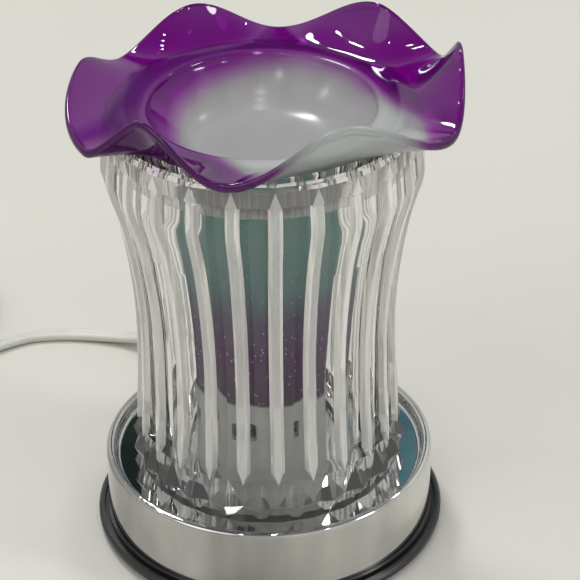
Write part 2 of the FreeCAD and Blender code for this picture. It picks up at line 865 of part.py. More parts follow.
def make_board_components():
    # Dropper capacitor, smoothing can, triac with its tab, touch chip and terminals
    top = board_top()
    film = block(film_length, film_width, film_height, board_place(film_place_shares), top)
    can_place = board_place(can_place_shares)
    can = disc(can_radius, top, can_height, can_place)
    can = can.cut(ring(can_radius + overrun, can_radius - can_collar / 4, top + can_collar,
                       can_collar, can_place))
    triac_place = board_place(triac_place_shares)
    triac = block(triac_width, triac_depth, triac_height, triac_place, top)
    tab_place = triac_place - Vector(0, (triac_depth + triac_tab) / 2, 0)
    tab = block(triac_width, triac_tab, triac_height + triac_tab, tab_place, top)
    posts = [disc(terminal_radius, top, terminal_height, p) for p in terminal_places()]
    return group([film, can, triac.fuse(tab), make_touch_chip()] + posts)


def make_touch_chip():
    centre = board_place(chip_place_shares)
    chip = block(chip_length, chip_width, chip_height, centre, board_top())
    per_side = chip_leg_count // 2
    step = chip_length / per_side
    legs = []
    for k in range(per_side):
        for side in (-1, 1):
            place = centre + Vector((k - (per_side - 1) / 2) * step,
                                    side * (chip_width + chip_leg_reach) / 2, 0)
            legs.append(block(chip_leg_width, chip_leg_reach, chip_height / 2, place, board_top()))
    return chip.fuse(legs)


def terminal_top():
    return board_top() + terminal_height


def terminal_places():
    # Two for the lamp, two for the supply, and one apart for the sensing wire
    along, across = terminal_row_shares
    row = [board_place((along + terminal_step_share * k, across)) for k in range(4)]
    return row + [board_place(sense_terminal_shares)]


def make_socket_leads():
    # Two insulated wires from the socket down through the floor to the board
    leads = []
    for place, terminal, label in zip(lead_places(), terminal_places(), ("left", "right")):
        arch = terminal_top() + 4 * lead_radius
        points = [Vector(place.x, 0, socket_bottom()),
                  Vector(place.x, -lead_radius, floor_top),
                  Vector((place.x + terminal.x) / 2, terminal.y / 2, arch + 2 * lead_radius),
                  Vector(terminal.x, terminal.y, arch),
                  Vector(terminal.x, terminal.y, terminal_top())]
        leads.append(round_lead(points, label + " lamp lead"))
    return group(leads)


def bushing_way():
    return polar(1, cord_exit_angle)


def bushing_rod(radius, start, end):
    way = bushing_way()
    return Part.makeCylinder(radius, end - start, way * start + Vector(0, 0, cord_exit_height), way)


def flat_section(centre, way, side):
    # Outline of the twin cord, two round-edged conductors side by side
    up = side.cross(way)
    half = cord_thickness / 2
    reach = (cord_width - cord_thickness) / 2
    a = centre - side * reach
    b = centre + side * reach
    return Part.Wire([
        Part.LineSegment(a + up * half, b + up * half).toShape(),
        Part.Arc(b + up * half, b + side * half, b - up * half).toShape(),
        Part.LineSegment(b - up * half, a - up * half).toShape(),
        Part.Arc(a - up * half, a - side * half, a + up * half).toShape()])


def cord_area():
    return (cord_width - cord_thickness) * cord_thickness + math.pi * cord_thickness ** 2 / 4


def make_cord_bushing():
    # Tapered strain relief with a flange inside the wall and ring grooves outside
    wall = cover_radius - cover_sheet
    way = bushing_way()
    tip = cover_radius + bushing_length
    base = way * wall + Vector(0, 0, cord_exit_height)
    cone = Part.makeCone(bushing_root_radius - air / 3, bushing_tip_radius, tip - wall, base, way)
    body = cone.fuse(bushing_rod(bushing_flange_radius, wall - bushing_flange - air, wall - air))
    body = body.fuse(bushing_rod(bushing_root_radius - air / 3, wall - bushing_flange, wall + cover_sheet))
    grooves = []
    for k in range(4):
        start = cover_radius + bushing_length * (0.22 + 0.17 * k)
        width = bushing_length * 0.07
        collar = bushing_rod(bushing_root_radius + overrun, start, start + width)
        core = bushing_rod(bushing_tip_radius - bushing_flange / 4, start - overrun, start + width + overrun)
        grooves.append(collar.cut(core))
    return body.cut(Part.makeCompound(grooves)).removeSplitter()


def make_supply_leads():
    # The cord's two conductors, parted inside the base, run over to the board
    way = bushing_way()
    start = cover_radius - cover_sheet - bushing_flange - air
    side = polar(1, cord_exit_angle + 90)
    height = Vector(0, 0, cord_exit_height)
    leads = []
    for sign, terminal, label in zip((1, -1), terminal_places()[2:4], ("left", "right")):
        off = side * (sign * (lead_radius + air))
        arch = terminal_top() + 4 * lead_radius
        points = [way * start + off + height,
                  way * (start - 9 * lead_radius) + off + height,
                  Vector(tray_radius * (0.04 - 0.06 * sign), tray_radius / 2, cord_exit_height + lead_radius),
                  Vector(terminal.x + lead_radius, tray_radius / 8, arch + lead_radius),
                  Vector(terminal.x, terminal.y, arch),
                  Vector(terminal.x, terminal.y, terminal_top())]
        leads.append(round_lead(points, label + " supply lead"))
    return group(leads)


def make_sense_lead():
    # The touch wire, with a ring clamped under the first cup screw's head
    place = cup_screw_places()[0]
    terminal = terminal_places()[4]
    low = floor_under - washer_thickness
    eye = ring(washer_radius, screw_radius + air / 3, low, washer_thickness, place)
    reach = washer_radius + 2 * lead_radius
    tongue = Part.makeBox(reach, 2 * lead_radius, washer_thickness,
                          Vector(place.x - reach, place.y - lead_radius, low))
    start = place + Vector(lead_radius - reach, 0, low)
    arch = terminal_top() + 3 * lead_radius
    points = [start, start - Vector(lead_radius, 0, 3 * lead_radius), terminal + Vector(0, 0, arch),
              terminal + Vector(0, 0, terminal_top())]
    wire = round_lead(points, "sensing lead")
    hole = disc(screw_radius + air / 3, low - overrun, washer_thickness + 2 * overrun, place)
    return eye.fuse([tongue.cut(hole), wire])


def cord_route():
    # Hand-chosen points from the bushing's tip to where the coil starts
    return [
        bushing_tip(),
        bushing_tip() + bushing_way() * cord_lead_out,
        Vector(-45.6, 96.2, 7.4),
        Vector(-60.5, 99.8, 2.9),
        Vector(-74.5, 101.4, 1.35),
        Vector(-89.5, 99.4, 1.35),
        coil_point(0) - coil_way(0) * cord_lead_in,
        coil_point(0) - coil_way(0) * cord_width,
    ]


def bushing_tip():
    return bushing_way() * (cover_radius + bushing_length) + Vector(0, 0, cord_exit_height)


def coil_floor():
    # The coil lies on its strap
    return cord_thickness / 2 + tie_sheet + air / 3


def coil_pitch():
    return cord_width + coil_gap


def coil_outer_radius():
    return coil_mid_radius + coil_pitch() * coil_half_turns_per_layer / 4


def coil_radius(half_turns):
    # Spiral in over the first layer and the climb, then out again over the second,
    # where the turn after the climb steps out past it
    climbed = half_turns > coil_half_turns_per_layer + 1
    inward = coil_total() - half_turns if climbed else half_turns
    return coil_outer_radius() - coil_pitch() / 2 * inward


def coil_total():
    return 2 * coil_half_turns_per_layer


def coil_height(half_turns):
    layer = coil_half_turns_per_layer
    climb = min(max(half_turns - layer, 0), 1)
    return coil_floor() + climb * (cord_thickness + coil_gap)


def coil_point(half_turns):
    centre = Vector(coil_centre_x, coil_centre_y, 0)
    return centre + polar(coil_radius(half_turns), coil_start_angle - 180.0 * half_turns,
                          coil_height(half_turns))


def coil_way(half_turns):
    return polar(1, coil_start_angle - 180.0 * half_turns - 90)


def biarc(start, start_way, end, end_way):
    # Two arcs that leave start and reach end along the given directions
    chord = end - start
    both = start_way + end_way
    spare = 2 * (1 - start_way.dot(end_way))
    along = chord.dot(both)
    reach = (-along + math.sqrt(along ** 2 + spare * chord.dot(chord))) / spare
    first = start + start_way * reach
    last = end - end_way * reach
    joint = (first + last) * 0.5
    return [tangent_arc(start, first, joint), tangent_arc(joint, last, end)]


def tangent_arc(start, corner, end):
    middle = (start + end) * 0.5
    half = (end - start).Length / 2
    reach = (corner - start).Length
    sagitta = half * math.tan(math.acos(min(half / reach, 1)) / 2)
    crown = middle + (corner - middle).normalize() * sagitta
    return Part.Arc(start, crown, end).toShape()


def make_cord_coil():
    # Two layers: wound in, up over the reversing half turn, and out again to the plug
    edges = [Part.LineSegment(coil_point(0) - coil_way(0) * cord_width, coil_point(0)).toShape()]
    for k in range(coil_total()):
        edges += biarc(coil_point(k), coil_way(k), coil_point(k + 1), coil_way(k + 1))
    edges += biarc(coil_point(coil_total()), coil_way(coil_total()), tail_start(), tail_way())
    edges.append(Part.LineSegment(tail_start(), tail_end()).toShape())
    path = Part.Wire(edges)
    start = coil_point(0) - coil_way(0) * cord_width
    section = flat_section(start, coil_way(0), polar(1, coil_start_angle))
    print_coil_gap(path)
    return sweep(path, section, cord_area(), "coil")


def print_coil_gap(path):
    # Least room between parts of the coil that lie over a quarter turn apart
    points = path.discretize(Distance=cord_width)
    least = coil_outer_radius()
    apart = round(coil_mid_radius * math.pi / 2 / cord_width)
    for k, a in enumerate(points):
        for b in points[k + apart:]:
            level = math.hypot(a.x - b.x, a.y - b.y)
            height = abs(a.z - b.z)
            room = max(level - cord_width, height - cord_thickness)
            least = min(least, room)
    print("coil least gap to itself", round(least, 2))


def make_power_cord():
    route = cord_route()
    path = rounded_route(route, "cord")
    way = (route[1] - route[0]).normalize()
    side = way.cross(Vector(0, 0, 1)).normalize()
    section = flat_section(route[0], way, side)
    return sweep(path, section, cord_area(), "cord", level=True)


def make_cord_tie():
    # Strap closed round the whole bundle, opposite the plug
    angle = coil_start_angle - 90
    tall = 2 * cord_thickness + coil_gap + 2 * tie_sheet + 2 * air
    inner_edge = coil_radius(coil_half_turns_per_layer + 0.5) - cord_width / 2 - 2 * air - tie_sheet
    outer_edge = coil_radius(0.5) + cord_width / 2 + 2 * air + tie_sheet
    strap = Part.makeBox(outer_edge - inner_edge, tie_width, tall,
                         Vector(inner_edge, -tie_width / 2, 0))
    strap = strap.makeFillet(tie_sheet, [e for e in strap.Edges if along_y(e)])
    hollow = Part.makeBox(outer_edge - inner_edge - 2 * tie_sheet, tie_width + 2 * overrun,
                          tall - 2 * tie_sheet,
                          Vector(inner_edge + tie_sheet, -tie_width / 2 - overrun, tie_sheet))
    tie = strap.cut(hollow)
    tie.rotate(Vector(0, 0, 0), Vector(0, 0, 1), angle)
    tie.translate(Vector(coil_centre_x, coil_centre_y, 0))
    return tie


def along_y(edge):
    way = edge.tangentAt(edge.FirstParameter)
    return abs(way.y) > 0.9


def tail_way():
    # The end leaves the coil and turns away from it towards the plug
    return polar(1, coil_start_angle - 180.0 * coil_total() - 90 + tail_turn)


def tail_start():
    end = coil_point(coil_total())
    chord = 2 * tail_bend_radius * math.sin(math.radians(tail_turn / 2))
    half_way = polar(1, coil_start_angle - 180.0 * coil_total() - 90 + tail_turn / 2)
    return end + half_way * chord


def tail_end():
    return tail_start() + tail_way() * cord_width


def place_on_cord_end(shape):
    # Turn a piece modelled along +X from the origin to lie on from the cord's end
    shape.rotate(Vector(0, 0, 0), Vector(0, 0, 1), math.degrees(math.atan2(tail_way().y, tail_way().x)))
    shape.translate(tail_end())
    return shape


def make_plug_body():
    # Waisted grip that widens to the flat face which carries the blades
    half_thickness = min(plug_thickness / 2, tail_end().z)
    wires = []
    for along, wide, thick in plug_shares:
        half_height = half_thickness * thick
        corner = min(plug_round, half_height * 0.6)
        wires.append(rounded_rectangle(plug_length * along, plug_width / 2 * wide, half_height, corner))
    return place_on_cord_end(Part.makeLoft(wires, True, False))


def rounded_rectangle(x, half_width, half_height, corner):
    edges = []
    w = half_width - corner
    h = half_height - corner
    middle = corner * math.sqrt(0.5)
    for y_sign, z_sign, first in ((1, 1, "z"), (1, -1, "y"), (-1, -1, "z"), (-1, 1, "y")):
        centre = Vector(x, y_sign * w, z_sign * h)
        up = centre + Vector(0, 0, z_sign * corner)
        out = centre + Vector(0, y_sign * corner, 0)
        crown = centre + Vector(0, y_sign * middle, z_sign * middle)
        ends = (up, out) if first == "z" else (out, up)
        edges.append((ends[0], crown, ends[1]))
    wire = []
    for index, (start, crown, end) in enumerate(edges):
        wire.append(Part.Arc(start, crown, end).toShape())
        following = edges[(index + 1) % 4][0]
        wire.append(Part.LineSegment(end, following).toShape())
    return Part.Wire(wire)


def make_plug_blades():
    blades = []
    for sign in (-1, 1):
        blade = Part.makeBox(blade_length, blade_thickness, blade_width,
                             Vector(plug_length, sign * blade_spacing / 2 - blade_thickness / 2, -blade_width / 2))
        blade = blade.makeFillet(blade_width / 4, [e for e in blade.Edges if far_corner(e)])
        blades.append(blade)
    return place_on_cord_end(group(blades))


def far_corner(edge):
    way = edge.tangentAt(edge.FirstParameter)
    return abs(way.y) > 0.9 and edge.CenterOfMass.x > plug_length + blade_length / 2


nodes = {
    "dish": make_dish,
    "glass_shade": make_glass_shade,
    "colour_sleeve": make_colour_sleeve,
    "lamp_cup": make_lamp_cup,
    "cup_screws": make_cup_screws,
    "cup_washers": make_cup_washers,
    "bulb_envelope": make_bulb_envelope,
    "bulb_filament": make_bulb_filament,
    "bulb_pins": make_bulb_pins,
    "lamp_socket": make_lamp_socket,
    "socket_contacts": make_socket_contacts,
    "socket_bracket": make_socket_bracket,
    "bracket_screws": make_bracket_screws,
    "socket_leads": make_socket_leads,
    "base_cover": make_base_cover,
    "base_posts": make_base_posts,
    "base_pan": make_base_pan,
    "pan_screws": make_pan_screws,
    "foot_pads": make_foot_pads,
    "touch_board": make_touch_board,
    "board_screws": make_board_screws,
    "board_components": make_board_components,
    "sense_lead": make_sense_lead,
    "supply_leads": make_supply_leads,
    "cord_bushing": make_cord_bushing,
    "power_cord": make_power_cord,
    "cord_coil": make_cord_coil,
    "cord_tie": make_cord_tie,
    "plug_body": make_plug_body,
    "plug_blades": make_plug_blades,
}

os.makedirs("parts", exist_ok=True)
for name, make in nodes.items():
    shape = make()
    shape.exportStep("parts/" + name + ".step")
    print(name, "solids", len(shape.Solids), "valid", shape.isValid(), "volume", round(shape.Volume, 1))
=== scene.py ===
# %% [markdown]
# # A wax warmer with a ruffled glass dish
# A glass dish for scented wax rests on a heavy cut-glass shade. Inside the shade a tinted
# sleeve stands round a small bulb, and all of it stands on a round chromed base with a
# black pan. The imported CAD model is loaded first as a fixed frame, and each piece made
# here sits where the frame says.

# %% Load the fixed frame
import math

import bmesh
import bpy
from mathutils import Matrix, Vector


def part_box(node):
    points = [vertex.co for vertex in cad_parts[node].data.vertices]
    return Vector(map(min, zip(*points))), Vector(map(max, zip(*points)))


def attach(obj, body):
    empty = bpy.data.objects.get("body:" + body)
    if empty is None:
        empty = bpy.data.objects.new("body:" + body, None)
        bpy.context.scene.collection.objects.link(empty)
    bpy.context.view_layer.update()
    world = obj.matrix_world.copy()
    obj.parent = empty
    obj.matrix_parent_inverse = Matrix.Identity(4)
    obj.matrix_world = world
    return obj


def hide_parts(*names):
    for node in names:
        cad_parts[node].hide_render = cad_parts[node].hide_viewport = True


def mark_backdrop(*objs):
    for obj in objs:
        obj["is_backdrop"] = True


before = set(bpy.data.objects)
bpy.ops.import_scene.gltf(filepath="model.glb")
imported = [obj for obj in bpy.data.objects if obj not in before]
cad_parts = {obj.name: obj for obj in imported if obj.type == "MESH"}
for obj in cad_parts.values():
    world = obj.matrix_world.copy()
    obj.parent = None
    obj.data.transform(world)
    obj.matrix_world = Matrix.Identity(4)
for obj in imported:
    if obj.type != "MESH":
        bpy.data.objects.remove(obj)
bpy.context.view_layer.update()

MM = 0.001
UP = Vector((0, 0, 1))

# %% [markdown]
# The camera stood about 75 cm away and looked down on the dish. A long lens keeps the
# upright lines nearly parallel. The view's own right, up and back directions make the
# columns of the camera's matrix, so no tracking constraint is needed.

# %% Place the camera
camera_place = Vector((0.0, -0.60346, 0.45346))
camera_yaw = math.radians(0.705)
camera_pitch = math.radians(31.622)
camera_roll = math.radians(-0.761)
lens_length = 142.76

forward = Vector((math.sin(camera_yaw) * math.cos(camera_pitch),
                  math.cos(camera_yaw) * math.cos(camera_pitch),
                  -math.sin(camera_pitch)))
level = Vector((math.cos(camera_yaw), -math.sin(camera_yaw), 0))
above = level.cross(forward)
right = math.cos(camera_roll) * level + math.sin(camera_roll) * above
upward = -math.sin(camera_roll) * level + math.cos(camera_roll) * above
camera = bpy.data.objects.new("camera", bpy.data.cameras.new("camera"))
bpy.context.scene.collection.objects.link(camera)
camera.matrix_world = Matrix((right, upward, -forward)).transposed().to_4x4()
camera.location = camera_place
camera.data.lens = lens_length
camera.data.clip_start = 0.01
bpy.context.scene.camera = camera
bpy.context.scene.view_settings.view_transform = "Standard"
print("camera", [round(value, 3) for value in camera_place])

# %% [markdown]
# Every finish below is a small network of nodes. A few helpers keep them readable: they
# start a material with a Principled shader, add a node with its settings, make noise or a
# ramp of colours, stretch a value to new limits, reckon with values and mix two colours.

# %% Helpers for materials
def add_node(tree, kind, inputs=None, **settings):
    node = tree.nodes.new(kind)
    for name, value in settings.items():
        setattr(node, name, value)
    for name, value in (inputs or {}).items():
        if isinstance(value, bpy.types.NodeSocket):
            tree.links.new(value, node.inputs[name])
        else:
            node.inputs[name].default_value = value
    return node


def start_material(name, **constants):
    material = bpy.data.materials.new(name)
    material.use_nodes = True
    tree = material.node_tree
    shader = tree.nodes["Principled BSDF"]
    for socket, value in constants.items():
        shader.inputs[socket.replace("_", " ")].default_value = value
    return material, tree, shader


def paint(tree, shader, **sources):
    # Links each named input of the shader to its source
    for socket, source in sources.items():
        tree.links.new(source, shader.inputs[socket.replace("_", " ")])


def place_nodes(tree, scale=(1, 1, 1)):
    where = add_node(tree, "ShaderNodeTexCoord").outputs["Object"]
    return add_node(tree, "ShaderNodeMapping", {"Vector": where, "Scale": scale}).outputs["Vector"]


def noise(tree, vector, scale, detail=3.0):
    settings = {"Vector": vector, "Scale": scale, "Detail": detail}
    return add_node(tree, "ShaderNodeTexNoise", settings).outputs["Fac"]


def ramp(tree, factor, stops):
    node = add_node(tree, "ShaderNodeValToRGB", {"Fac": factor})
    points = node.color_ramp.elements
    while len(points) < len(stops):
        points.new(0.5)
    for point, (place, colour) in zip(points, stops):
        point.position = place
        point.color = (*colour, 1)
    return node.outputs["Color"]


def stretch(tree, value, start, end, low=0.0, high=1.0):
    # Where the value is start this gives low, where it is end it gives high
    settings = {"Value": value, "From Min": start, "From Max": end, "To Min": low, "To Max": high}
    return add_node(tree, "ShaderNodeMapRange", settings).outputs["Result"]


def reckon(tree, operation, *values):
    node = add_node(tree, "ShaderNodeMath", dict(enumerate(values)), operation=operation)
    return node.outputs[0]


def mix(tree, factor, first, second):
    inputs = {"Factor": factor, "A": first, "B": second}
    return add_node(tree, "ShaderNodeMix", inputs, data_type="RGBA").outputs["Result"]


def wander(tree, value, clouds, amount):
    # The value strays by up to half the amount either way
    stray = reckon(tree, "MULTIPLY_ADD", clouds, amount, -amount / 2)
    return reckon(tree, "ADD", value, stray)


def bump(tree, shader, height, strength, distance):
    settings = {"Height": height, "Strength": strength, "Distance": distance}
    node = add_node(tree, "ShaderNodeBump", settings)
    tree.links.new(node.outputs["Normal"], shader.inputs["Normal"])


print("helpers ready")

# %% [markdown]
# Moulded plastic, rubber and ceramic differ in colour, gloss and grain, so one function
# makes them all: a faint cloud in the colour, a faint change in the gloss and a fine
# grain that stands up by a few hundredths of a millimetre.

# %% Moulded and plain finishes
def moulded(name, colour, roughness, grain=3000.0, cloud=0.06, height=0.03 * MM):
    material, tree, shader = start_material(name)
    where = place_nodes(tree)
    clouds = noise(tree, where, 90.0)
    dark = [value * (1 - cloud) for value in colour]
    light = [min(1.0, value * (1 + cloud)) for value in colour]
    gloss = stretch(tree, clouds, 0.3, 0.7, roughness * 0.85, min(1.0, roughness * 1.15))
    paint(tree, shader, Base_Color=ramp(tree, clouds, [(0.3, dark), (0.7, light)]), Roughness=gloss)
    bump(tree, shader, noise(tree, where, grain), 0.35, height)
    return material


black_moulding = moulded("black_moulding", (0.012, 0.012, 0.013), 0.32)
grey_moulding = moulded("grey_moulding", (0.60, 0.61, 0.60), 0.45)
white_moulding = moulded("white_moulding", (0.66, 0.66, 0.60), 0.42, grain=1800.0)
cord_vinyl = moulded("cord_vinyl", (0.56, 0.565, 0.51), 0.36, grain=1500.0)
tie_nylon = moulded("tie_nylon", (0.03, 0.03, 0.03), 0.5)
pad_rubber = moulded("pad_rubber", (0.03, 0.03, 0.03), 0.75, grain=2200.0, height=0.06 * MM)
socket_ceramic = moulded("socket_ceramic", (0.80, 0.77, 0.70), 0.55, grain=1400.0)
board_laminate = moulded("board_laminate", (0.05, 0.19, 0.09), 0.35, grain=900.0, cloud=0.15)
component_moulding = moulded("component_moulding", (0.05, 0.05, 0.06), 0.4, cloud=0.2)
lead_sleeving = moulded("lead_sleeving", (0.74, 0.73, 0.70), 0.4, grain=1600.0)
print("moulded finishes made")

# %% [markdown]
# Plated and sheet metals share a shader too. Metal has no colour of its own apart from
# what it mirrors, so smudges are what the eye reads. They dull the gloss, and where the
# metal is worn they darken what it mirrors.

# %% Metals
def metal(name, colour, roughness, smear=(1, 1, 1), smudge=60.0, wear=0.93):
    material, tree, shader = start_material(name, Metallic=1.0)
    marks = noise(tree, place_nodes(tree, smear), smudge, 6.0)
    dull = [value * wear for value in colour]
    gloss = stretch(tree, marks, 0.35, 0.7, roughness * 0.6, roughness * 1.5)
    paint(tree, shader, Base_Color=ramp(tree, marks, [(0.35, dull), (0.65, colour)]), Roughness=gloss)
    bump(tree, shader, marks, 0.25, 0.01 * MM)
    return material


chrome_plate = metal("chrome_plate", (0.72, 0.715, 0.69), 0.055,
                     smear=(1, 1, 0.3), smudge=26.0, wear=0.52)
zinc_plate = metal("zinc_plate", (0.62, 0.63, 0.66), 0.32, smudge=400.0)
spring_brass = metal("spring_brass", (0.78, 0.62, 0.32), 0.25, smudge=300.0)
blade_plate = metal("blade_plate", (0.74, 0.71, 0.62), 0.22, smear=(8, 1, 1), smudge=120.0)
filament_metal = metal("filament_metal", (0.36, 0.35, 0.34), 0.4, smudge=900.0)
print("metals made")

# %% [markdown]
# The shade is clear pressed glass with cut faces. Pressed glass is never quite flat, so a
# very shallow, slow ripple bends what is seen through its panels. The ribs, the band of the
# collar and the foot carry fine upright lines and a little roughness, and a diffuse colour
# that is painted light: pale painted reflections on the ribs, a painted pinkish grey on the
# collar for the dish and bore seen through it, and a painted lighter tone on the foot and the
# rim's edge that lifts their dark shade. The bulb's thin glass has a weaker ripple.

# %% Clear glass
ripple_scale = 60.0
shade_index = 1.52


def clear_glass(name, colour, ripple_height, index):
    material, tree, shader = start_material(name, Transmission_Weight=1.0, IOR=index,
                                            Roughness=0.0, Specular_IOR_Level=0.12)
    where = place_nodes(tree)
    tinge = [value * 0.985 for value in colour]
    clouds = noise(tree, where, 40.0)
    paint(tree, shader, Base_Color=ramp(tree, clouds, [(0.3, tinge), (0.7, colour)]))
    bump(tree, shader, noise(tree, where, ripple_scale, 1.0), 0.5, ripple_height)
    return material


def grained_glass_with_painted_light(name, passes, dull, bright, haze=0.14):
    # Fine upright lines of grain and a little roughness, under a pale diffuse colour that is painted
    # light
    material, tree, shader = start_material(name, Transmission_Weight=passes, IOR=shade_index,
                                            Specular_IOR_Level=0.3)
    lines = noise(tree, place_nodes(tree, (1, 1, 0.03)), 1400.0, 2.0)
    gloss = stretch(tree, lines, 0.3, 0.7, 0.0, haze)
    paint(tree, shader, Base_Color=ramp(tree, lines, [(0.35, dull), (0.65, bright)]), Roughness=gloss)
    bump(tree, shader, lines, 0.12, 0.02 * MM)
    return material


# The ribs' near-white colour is a painted reflection of a bright window
rib_glass_painted_pale = grained_glass_with_painted_light("rib_glass_painted_pale", 0.46, (0.90, 0.885, 0.84), (0.99, 0.98, 0.95))
# The collar's pinkish grey is painted refraction of the dish and bore seen through it
facet_glass_painted_pinkish = grained_glass_with_painted_light("facet_glass_painted_pinkish", 0.66, (0.50, 0.45, 0.44), (0.72, 0.69, 0.68))
# The foot and the rim's edge get a near-white tone, painted light that lifts their dark shade
edge_glass_painted_lighter = grained_glass_with_painted_light("edge_glass_painted_lighter", 0.92, (0.84, 0.82, 0.81), (0.97, 0.96, 0.95), haze=0.03)
cut_glass = clear_glass("cut_glass", (0.985, 0.99, 0.985), 0.08 * MM, shade_index)
bulb_glass = clear_glass("bulb_glass", (0.98, 0.98, 0.98), 0.02 * MM, 1.5)
print("clear glass made")

# %% [markdown]
# The dish is a hazy grey in the bowl and deep violet at the rim. The violet was sprayed on
# a little off centre, so each point of the mesh will carry how much of it the glass took
# there, and the material reads that number. A second number tells where the glass has run
# out thin and lost its haze. Coloured haze is mixed into the clear glass, because the real
# dish hides most of what lies below it.

# %% Violet glass
violet_share = "violet_share"
clear_share = "clear_share"
violet_stops = [(0.0, (0.41, 0.41, 0.405)), (0.22, (0.37, 0.36, 0.37)), (0.40, (0.31, 0.15, 0.35)),
                (0.55, (0.24, 0.012, 0.29)), (0.80, (0.150, 0.0, 0.205)), (1.0, (0.185, 0.0, 0.24))]
thin_colour = (0.80, 0.84, 0.82, 1)


def violet_glass():
    material, tree, shader = start_material("violet_glass", IOR=1.5, Specular_IOR_Level=0.19)
    taken = add_node(tree, "ShaderNodeAttribute", attribute_name=violet_share).outputs["Fac"]
    thin = add_node(tree, "ShaderNodeAttribute", attribute_name=clear_share).outputs["Fac"]
    where = place_nodes(tree)
    factor = wander(tree, taken, noise(tree, where, 38.0, 2.0), 0.16)
    # Towards the rim the uncoloured glass loses its haze
    bare = reckon(tree, "MULTIPLY", thin, stretch(tree, factor, 0.45, 0.1))
    haze = stretch(tree, taken, 0.1, 0.8, 0.2, 0.03)
    clear = stretch(tree, taken, 0.0, 0.7, 0.30, 0.52)
    gain = stretch(tree, bare, 0.0, 1.0, 0.22, 0.46)
    passes = reckon(tree, "MULTIPLY_ADD", gain, thin, clear)
    colour = mix(tree, bare, ramp(tree, factor, violet_stops), thin_colour)
    paint(tree, shader, Base_Color=colour, Roughness=haze, Transmission_Weight=passes)
    bump(tree, shader, noise(tree, where, 55.0, 2.0), 0.3, 0.08 * MM)
    return material


dish_glass = violet_glass()
print("violet glass made")

# %% [markdown]
# The sleeve's tint runs from a teal grey at the top to a dark purple at the foot, and fine
# dust inside it shows as light specks. It lets only a little light through. The shader is
# made twice: the copy for the inner side is painted twice as bright, which is painted light
# that lifts the shade inside the tube.

# %% Tinted sleeve finish
sleeve_stops = [(0.0, (0.046, 0.0, 0.054)), (0.30, (0.095, 0.0, 0.122)), (0.50, (0.115, 0.085, 0.175)),
                (0.66, (0.140, 0.290, 0.290)), (1.0, (0.190, 0.410, 0.360))]
dust_colour = (0.55, 0.50, 0.56, 1)


def sleeve_tint(name, light):
    low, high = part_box("colour_sleeve")
    material, tree, shader = start_material(name, IOR=1.5, Transmission_Weight=0.1,
                                            Roughness=0.35, Specular_IOR_Level=0.05)
    where = place_nodes(tree)
    height = add_node(tree, "ShaderNodeSeparateXYZ", {"Vector": where}).outputs["Z"]
    along = stretch(tree, height, low[2], high[2])
    factor = wander(tree, along, noise(tree, where, 70.0), 0.12)
    stops = [(place, [value * light for value in colour]) for place, colour in sleeve_stops]
    dust = add_node(tree, "ShaderNodeTexVoronoi", {"Vector": where, "Scale": 420.0}).outputs["Distance"]
    speck = stretch(tree, dust, 0.16, 0.08)
    paint(tree, shader, Base_Color=mix(tree, speck, ramp(tree, factor, stops), dust_colour))
    return material


tinted_glass = sleeve_tint("sleeve_tint", 1.0)
# The inner lining is painted twice as bright, painted light against the shade inside the sleeve
sleeve_lining_painted_light = sleeve_tint("sleeve_lining_painted_light", 2.0)
print("tinted glass made")

# %% [markdown]
# The table under the warmer is plain and pale. It is far larger than the view, because
# metal and glass also mirror and bend what lies outside it.

# %% Floor
floor_reach = 6.0
floor_stops = [(0.3, (0.60, 0.585, 0.53)), (0.7, (0.645, 0.63, 0.57))]


def lay_floor():
    bm = bmesh.new()
    bmesh.ops.create_circle(bm, cap_ends=True, segments=64, radius=floor_reach)
    mesh = bpy.data.meshes.new("floor")
    bm.to_mesh(mesh)
    bm.free()
    floor = bpy.data.objects.new("floor", mesh)
    bpy.context.scene.collection.objects.link(floor)
    material, tree, shader = start_material("floor_stone", Roughness=0.38)
    clouds = noise(tree, place_nodes(tree), 3.0)
    paint(tree, shader, Base_Color=ramp(tree, clouds, floor_stops))
    mesh.materials.append(material)
    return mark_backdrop(floor)


lay_floor()
print("floor laid")

# %% [markdown]
# The light is a pale room with a dim ceiling. Behind the warmer, halfway up, is a darker
# patch, green on the left and blue on the right, and that is what the chromed tray
# mirrors. Two soft lamps stand in for windows and a wide weak one fills the shadows. A
# row of small ceiling lamps and four spots put the sparkles on the glass.

# %% Room and lamps
room_strength = 0.84
height_stops = [(0.0, (0.62, 0.61, 0.59)), (0.22, (0.68, 0.68, 0.67)), (0.60, (0.92, 0.93, 0.94)),
                (0.80, (0.42, 0.42, 0.43)), (1.0, (0.20, 0.20, 0.20))]
band_stops = [(0.40, (0, 0, 0)), (0.46, (1, 1, 1)), (0.62, (1, 1, 1)), (0.68, (0, 0, 0))]
patch_stops = [(0.0, (0.02, 0.035, 0.03)), (0.45, (0.05, 0.07, 0.07)), (0.7, (0.07, 0.16, 0.20)),
               (1.0, (0.14, 0.28, 0.34))]


def paint_room():
    world = bpy.data.worlds.new("room")
    bpy.context.scene.world = world
    world.use_nodes = True
    tree = world.node_tree
    way = add_node(tree, "ShaderNodeTexCoord").outputs["Generated"]
    x, y, z = add_node(tree, "ShaderNodeSeparateXYZ", {"Vector": way}).outputs
    near = stretch(tree, reckon(tree, "ABSOLUTE", x), 0.22, 0.11)
    behind = stretch(tree, y, 0.1, 0.3)
    patch = reckon(tree, "MULTIPLY", near, behind)
    dark = reckon(tree, "MULTIPLY", ramp(tree, z, band_stops), patch)
    wall = ramp(tree, stretch(tree, x, -0.07, 0.07), patch_stops)
    background = tree.nodes["Background"]
    tree.links.new(mix(tree, dark, ramp(tree, z, height_stops), wall), background.inputs["Color"])
    background.inputs["Strength"].default_value = room_strength


def hang_lamp(name, place, aim, size, power):
    light = bpy.data.lights.new(name, "AREA")
    light.shape = "ELLIPSE"
    light.size, light.size_y = size
    light.energy = power
    lamp = bpy.data.objects.new(name, light)
    bpy.context.scene.collection.objects.link(lamp)
    lamp.location = place
    lamp.rotation_euler = (Vector(aim) - Vector(place)).to_track_quat("-Z", "Y").to_euler()


